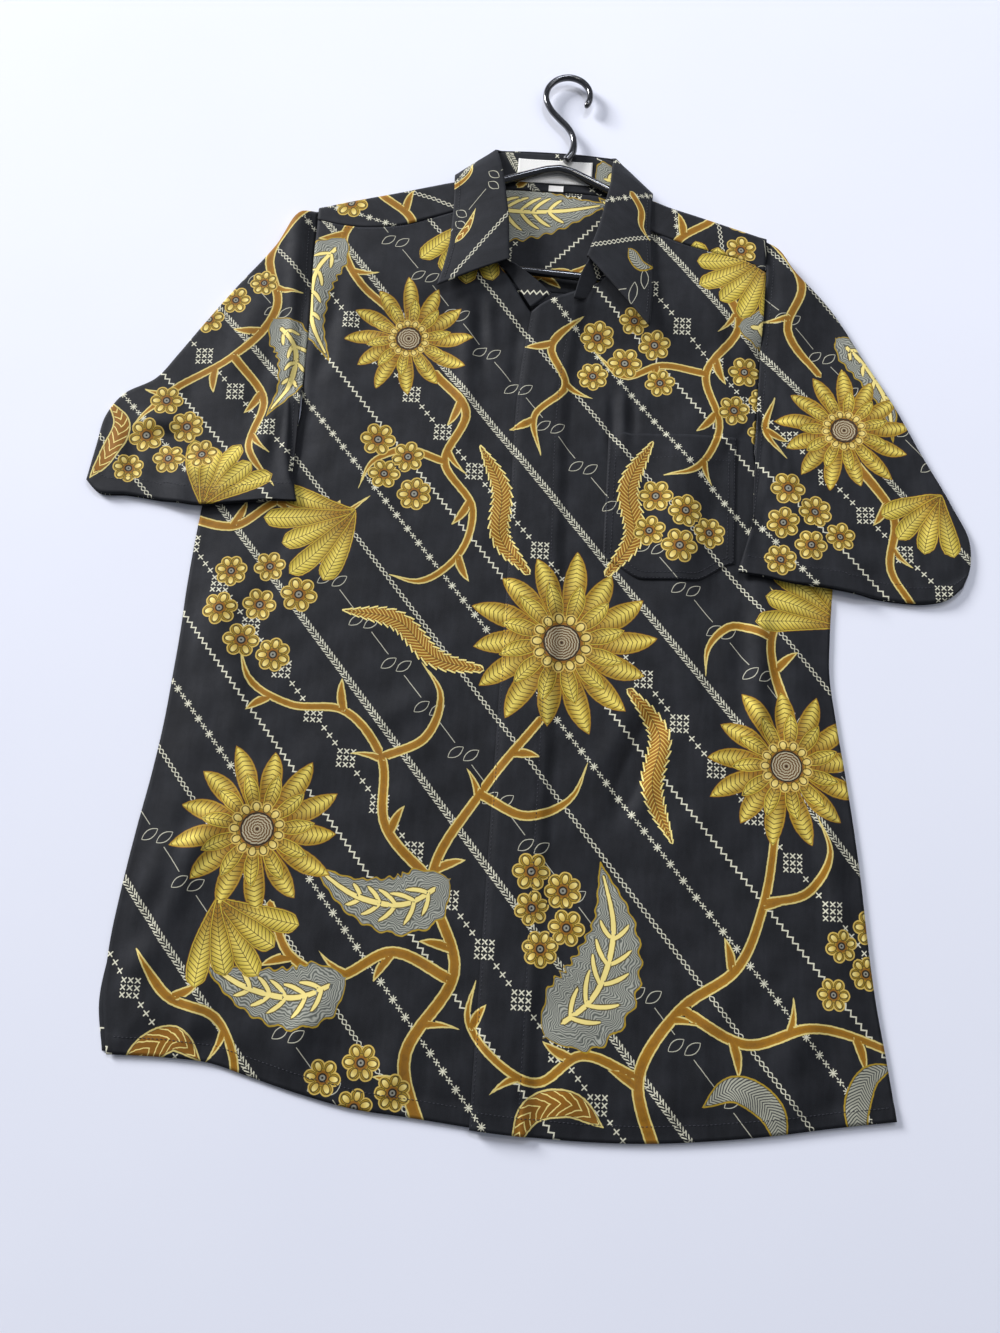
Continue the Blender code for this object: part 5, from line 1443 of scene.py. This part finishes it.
def sweep(line, radius, around=20, closed=False):
    """Points and faces of a round rod on a plan line at the tube's height (mm)."""
    line = np.asarray(line, float)
    n = len(line)
    if closed:
        ahead, back = np.roll(line, -1, axis=0), np.roll(line, 1, axis=0)
    else:
        ahead, back = np.vstack([line[1:], 2 * line[-1:] - line[-2:-1]]), np.vstack([2 * line[:1] - line[1:2], line[:-1]])
    run = ahead - back
    run /= np.linalg.norm(run, axis=1)[:, None]
    side = np.stack([run[:, 1], -run[:, 0], np.zeros(n)], 1)
    side /= np.linalg.norm(side, axis=1)[:, None]
    up = np.cross(side, run)
    radius = np.broadcast_to(radius, (n,))
    points = []
    for k in range(around):
        a = 2 * math.pi * k / around
        points.append(line + radius[:, None] * (math.cos(a) * side + math.sin(a) * up))
    points = np.stack(points, 1).reshape(-1, 3)
    faces = []
    for i in range(n if closed else n - 1):
        j = (i + 1) % n
        for k in range(around):
            m = (k + 1) % around
            faces.append((i * around + k, j * around + k, j * around + m, i * around + m))
    if not closed:
        faces.append(tuple(range(around)))
        faces.append(tuple((n - 1) * around + k for k in range(around))[::-1])
    return points, faces


def evened(points, step, closed=False):
    p = np.array(points, float)
    if closed:
        p = np.vstack([p, p[:1]])
    run = np.concatenate([[0], np.cumsum(np.linalg.norm(np.diff(p, axis=0), axis=1))])
    n = max(2, int(run[-1] / step))
    s = np.linspace(0, run[-1], n + 1)
    out = np.stack([np.interp(s, run, p[:, k]) for k in range(p.shape[1])], 1)
    return out[:-1] if closed else out


loop = evened(hanger_loop(40), 2.2, closed=True)
# the corners at the top are moulded round
loop = (np.roll(loop, 1, axis=0) + 6 * loop + np.roll(loop, -1, axis=0)) / 8
loop = np.column_stack([loop, np.full(len(loop), TUBE_Z)])
points, faces = sweep(loop, TUBE / 2 - 0.02, closed=True)
hanger_rod = mesh_object("hanger_rod", place(points), faces, plastic)

hook_line = along(HOOK, np.linspace(0, 1, 110))
hook_line = np.column_stack([hook_line, np.full(len(hook_line), TUBE_Z)])
run = np.linspace(0, 1, len(hook_line))
hook_radius = (TUBE / 2 - 0.02) * (1 - 0.2 * ease((run - 0.06) / 0.1))
hook_radius[-1], hook_radius[-2], hook_radius[-3] = hook_radius[-1] * 0.5, hook_radius[-2] * 0.8, hook_radius[-3] * 0.94
points, faces = sweep(hook_line, hook_radius)
hanger_crook = mesh_object("hanger_crook", place(points), faces, plastic)


def patch(name, cx, cy, wide, high_, base, thick):
    """A woven tape: slightly bowed, with turned-in short ends."""
    cols, rows = 44, 18
    s, t = np.linspace(-0.5, 0.5, cols), np.linspace(-0.5, 0.5, rows)
    S, T = np.meshgrid(s, t)
    ends = ease((np.abs(S) - 0.455) / 0.02)
    z = base + thick * 0.7 + 0.12 * np.sin(S * 11.0 + T * 3) * (wide > 30) + thick * 0.3 * ends
    top = np.stack([cx + S * wide, cy + T * high_, z], -1)
    low_ = top.copy()
    low_[..., 2] = base
    points = np.concatenate([top.reshape(-1, 3), low_.reshape(-1, 3)])
    index = np.arange(rows * cols).reshape(rows, cols)
    faces = []
    for i in range(rows - 1):
        for j in range(cols - 1):
            a, b, c, d = index[i, j], index[i, j + 1], index[i + 1, j + 1], index[i + 1, j]
            faces.append((int(a), int(b), int(c), int(d)))
            faces.append(tuple(int(v) + rows * cols for v in (d, c, b, a)))
    border = list(index[0, :]) + list(index[1:, -1]) + list(index[-1, -2::-1]) + list(index[-2:0:-1, 0])
    for k in range(len(border)):
        a, b = int(border[k]), int(border[(k + 1) % len(border)])
        faces.append((b, a, a + rows * cols, b + rows * cols))
    return mesh_object(name, place(points), faces, tape)


LABEL_BASE = 2.0 + 0.5 + 0.3
label_tape = patch("label_tape", 0.5, 382.5, 65.6, 23.8, LABEL_BASE, 0.6)
tag_tape = patch("tag_tape", 2.5, 365.2, 12.9, 5.9, LABEL_BASE, 0.6)

STITCHES = {}


def stitch_row(group, line, height, long=2.1, gap=0.9, fat=0.26, seed=0):
    """Stitches along a plan line (mm); height gives the cloth's top."""
    line = evened(line, 0.5)
    run = np.concatenate([[0], np.cumsum(np.linalg.norm(np.diff(line, axis=0), axis=1))])
    starts = np.arange(0.6, run[-1] - long, long + gap)
    if len(starts) == 0:
        return
    mid = starts + long / 2
    for shares in (np.array([0.0, 0.25, 0.5, 0.75, 1.0]),):
        s = starts[:, None] + long * shares[None]
        x, y = np.interp(s, run, line[:, 0]), np.interp(s, run, line[:, 1])
        tx, ty = x[:, -1] - x[:, 0], y[:, -1] - y[:, 0]
        n = np.hypot(tx, ty) + 1e-9
        nx, ny = -ty / n, tx / n
        z = height(x, y)
        lift = np.array([-0.22, 0.10, 0.16, 0.10, -0.22])[None]
        thick = fat * np.array([0.35, 0.9, 1.0, 0.9, 0.35])[None]
        store = STITCHES.setdefault(group, [[], [], 0])
        rings = []
        for k, (across_, up_) in enumerate(((-1, 0), (0, 1), (1, 0), (0, -1))):
            px = x + nx[:, None] * thick * across_
            py = y + ny[:, None] * thick * across_
            pz = z + lift + thick * (up_ * 0.8)
            rings.append(np.stack([px, py, pz], -1))
        pts = np.stack(rings, 2)  # stitches, 5, 4, 3
        count = len(pts)
        base = store[2] + np.arange(count)[:, None] * 20
        for i in range(4):
            for k in range(4):
                m = (k + 1) % 4
                quad = np.stack([base[:, 0] + i * 4 + k, base[:, 0] + (i + 1) * 4 + k, base[:, 0] + (i + 1) * 4 + m, base[:, 0] + i * 4 + m], 1)
                store[1].append(quad)
        store[1].append(base + np.array([[0, 1, 2, 3]]))
        store[1].append(base + np.array([[19, 18, 17, 16]]))
        store[0].append(pts.reshape(-1, 3))
        store[2] += count * 20


def sewn(name, group, material):
    points, faces, _ = STITCHES[group]
    points, faces = np.concatenate(points), np.concatenate(faces)
    return mesh_object(name, place(points), [tuple(int(i) for i in f) for f in faces], material)


def grid_line(grid, row=None, col=None):
    return (grid[row] if row is not None else grid[:, col])[:, :2]


def inset(line, by):
    """A plan line moved sideways, to its left going along."""
    line = evened(line, 3.0)
    run = np.gradient(line, axis=0)
    n = np.hypot(run[:, 0], run[:, 1])[:, None] + 1e-9
    return line + np.stack([-run[:, 1], run[:, 0]], 1) / n * by


hem_points = [p for p in HEM]
right_hem_line = inset(left_hem, 12.0)
left_hem_line = inset(right_hem, 12.0)
stitch_row("front_right", right_hem_line[1:-1][right_hem_line[1:-1][:, 0] < -17], lambda x, y: front_top(x, y))
stitch_row("front_left", left_hem_line[1:-1], left_front_top)
ys = np.linspace(-392, 216, 300)
stitch_row("front_left", np.column_stack([placket_x(ys) + LAP - 0.5, ys]), left_front_top)
ys = np.linspace(-403, 232, 300)
stitch_row("front_left", np.column_stack([placket_x(ys) + 1.6, ys]), left_front_top, long=2.1)


def pocket_top(x, y):
    edge = np.minimum(x - POCKET["left"], POCKET["right"] - x)
    return left_front_top(x, y) + 0.95 + 0.25 * ease((edge - 2) / 10)


for shift in (1.4, 6.2):
    border = np.concatenate([pocket[::-1, 0], pocket[0, 1:], pocket[1:, -1]])
    stitch_row("pocket", inset(border, shift), pocket_top)
stitch_row("pocket", pocket[-1, 1:-1] - np.array([0.0, 20.5]), pocket_top)


def below_seam(line, by):
    return [(x, y - by) for x, y in line]


stitch_row("front_right", below_seam(along(YOKE_LEFT, np.linspace(0.02, 0.98, 60)), 1.9), front_top)
stitch_row("front_left", below_seam(along(YOKE_RIGHT, np.linspace(0.02, 0.98, 60)), 1.9), left_front_top)


def nearest_top(plan, upper):
    flat = upper[:, 1:-1].reshape(-1, 3)

    def height(x, y):
        out = np.empty(np.shape(x))
        for i in range(len(out)):
            d = (flat[:, 0][None] - x[i][:, None]) ** 2 + (flat[:, 1][None] - y[i][:, None]) ** 2
            out[i] = flat[d.argmin(1), 2]
        return out

    return height


for side, plan, upper in (("sleeve_right", left_sleeve_plan, left_sleeve_top), ("sleeve_left", right_sleeve_plan, right_sleeve_top)):
    top = upper
    # a row a hem's width from the cuff
    lengths = np.linalg.norm(np.diff(top[:, :, :2], axis=0), axis=2)
    run = np.cumsum(lengths[::-1], axis=0)[::-1]
    rows_ = np.argmin(np.abs(run - 14.2), axis=0)
    line = top[rows_, np.arange(top.shape[1])][3:-3]
    height = nearest_top(plan, top)
    stitch_row(side, line[:, :2], height)
    arm = top[:, 3:-3]
    lengths = np.linalg.norm(np.diff(arm[:, :, :2], axis=0), axis=2)
    run = np.cumsum(lengths, axis=0)
    rows_ = np.argmin(np.abs(run - 6.0), axis=0) + 1
    stitch_row(side, arm[rows_, np.arange(arm.shape[1])][:, :2], height)


def collar_rows():
    """The stitched line just inside the fall's free edge, on its upper face."""
    out = []
    for name, lo, hi in (("left", 0.0, 10.0), ("right", 16.0, 20.0)):
        on = (collar_q >= FALL_FROM) & (collar_q <= FALL_TO)
        q = collar_q[on]
        leaf = fall_grid[14:]
        pick = (q >= FALL_FROM + 0.2) & (q <= FALL_FROM + 5.2) if name == "left" else (q >= FALL_TO - 4.9) & (q <= FALL_TO - 0.2)
        edge = leaf[-1, pick]
        into = leaf[-12, pick] - edge
        into /= np.linalg.norm(into, axis=1)[:, None]
        out.append(edge + into * 5.0)
    return out


for line in collar_rows():
    order = np.argsort(line[:, 1])
    table = line[order]
    stitch_row("collar", line[:, :2], lambda x, y, t=table: np.interp(y, t[:, 1], t[:, 2]) + 0.62)

SEWN = [
    sewn("stitches_front_right", "front_right", sewing), sewn("stitches_front_left", "front_left", sewing),
    sewn("stitches_pocket", "pocket", sewing), sewn("stitches_sleeve_right", "sleeve_right", sewing),
    sewn("stitches_sleeve_left", "sleeve_left", sewing), sewn("stitches_collar", "collar", sewing),
]
for x0, x1 in ((-31.6, 32.6),):
    for y in (371.8, 393.2):
        stitch_row("label", [(x0, y), (x1, y)], lambda x, y: np.full(np.shape(x), LABEL_BASE + 0.5), long=1.5, gap=0.8, fat=0.1)
    for x in (x0 + 0.2, x1 - 0.2):
        stitch_row("label", [(x, 371.8), (x, 393.2)], lambda x, y: np.full(np.shape(x), LABEL_BASE + 0.5), long=1.5, gap=0.8, fat=0.1)
SEWN.append(sewn("stitches_label", "label", tape_thread))

# buttons keep their solids and get the resin material, under the fly
BUTTONS = [n for n in ("fly_button_%d" % k for k in range(1, 7))]
for n in BUTTONS:
    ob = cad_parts[n]
    ob.data.materials.clear()
    ob.data.materials.append(resin)

# =====================================================================================
# 7. The pieces joined to the body, and the parts they replace hidden
# =====================================================================================
PAIRS = (
    (cloth_front_right, "front_right"), (cloth_front_left, "front_left"), (cloth_back, "back"), (cloth_yoke, "yoke"),
    (cloth_sleeve_right, "sleeve_right"), (cloth_sleeve_left, "sleeve_left"), (cloth_collar_stand, "collar_stand"),
    (cloth_collar_fall, "collar_fall"), (cloth_pocket, "chest_pocket"),
)
for ob, node in PAIRS:
    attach(ob, "root")
    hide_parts(node)
for ob, node, name in ((hanger_rod, "hanger_frame", "black_plastic"), (hanger_crook, "hanger_hook", "black_plastic"), (label_tape, "neck_label", "white_tape"), (tag_tape, "size_tag", "white_tape")):
    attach(ob, "root")
    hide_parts(node)
for ob in SEWN:
    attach(ob, "root")


# =====================================================================================
# 8. Floor, light and camera
# =====================================================================================
paper, tree, bsdf = new_material("pale_floor")
at = object_vector()
tree.links.new(mix(noise(at, 3.0, 3.0), colour("dfe2ec"), colour("e7e9f1")).s, bsdf.inputs["Base Color"])
bsdf.inputs["Roughness"].default_value = 0.9
me = bpy.data.meshes.new("floor")
me.from_pydata([(-6, -6, -0.0002), (6, -6, -0.0002), (6, 6, -0.0002), (-6, 6, -0.0002)], [], [(0, 1, 2, 3)])
me.materials.append(paper)
floor = bpy.data.objects.new("floor", me)
bpy.context.scene.collection.objects.link(floor)

world = bpy.data.worlds.new("soft_room")
bpy.context.scene.world = world
world.use_nodes = True
world.node_tree.nodes["Background"].inputs["Color"].default_value = colour("dfe5f2")
world.node_tree.nodes["Background"].inputs["Strength"].default_value = 0.26


def lamp(name, spot, aim, wide, power, tint="ffffff"):
    light = bpy.data.lights.new(name, "AREA")
    light.shape = "SQUARE"
    light.size = wide
    light.energy = power
    light.color = colour(tint)[:3]
    ob = bpy.data.objects.new(name, light)
    ob.location = spot
    ob.rotation_euler = (Vector(aim) - Vector(spot)).to_track_quat("-Z", "Y").to_euler()
    bpy.context.scene.collection.objects.link(ob)
    return ob


lamp("window", (-5.4, 3.9, 2.6), (0, 0, 0), 2.1, 800, "f8f8fc")
lamp("sky", (0.2, 2.0, 2.5), (0, 0.2, 0), 0.42, 22, "eaf0ff")
lamp("room", (1.5, 0.9, 2.0), (0.1, 0, 0), 1.6, 13, "f6f6fc")
lamp("glint", (-0.5, 0.85, 2.5), (0.03, 0.3, 0), 0.3, 6, "fffaf2")

cam = bpy.data.cameras.new("camera")
cam.lens, cam.sensor_width, cam.sensor_fit = 37.8, 36.0, "HORIZONTAL"
camera = bpy.data.objects.new("camera", cam)
yaw, tilt = math.radians(4.2646), math.radians(15.0)
right = Vector((math.cos(yaw), math.sin(yaw), 0))
up = Vector((-math.sin(yaw) * math.cos(tilt), math.cos(yaw) * math.cos(tilt), math.sin(tilt)))
back_ = right.cross(up)
turn_ = Matrix((right, up, back_)).transposed().to_4x4()
turn_.translation = Vector(((1.3 - CENTRE_X) * MM, (-281.3 - CENTRE_Y) * MM, 786.2 * MM))
camera.matrix_world = turn_
bpy.context.scene.collection.objects.link(camera)
bpy.context.scene.camera = camera
bpy.context.scene.view_settings.view_transform = "Standard"
bpy.context.scene.view_settings.look = "None"
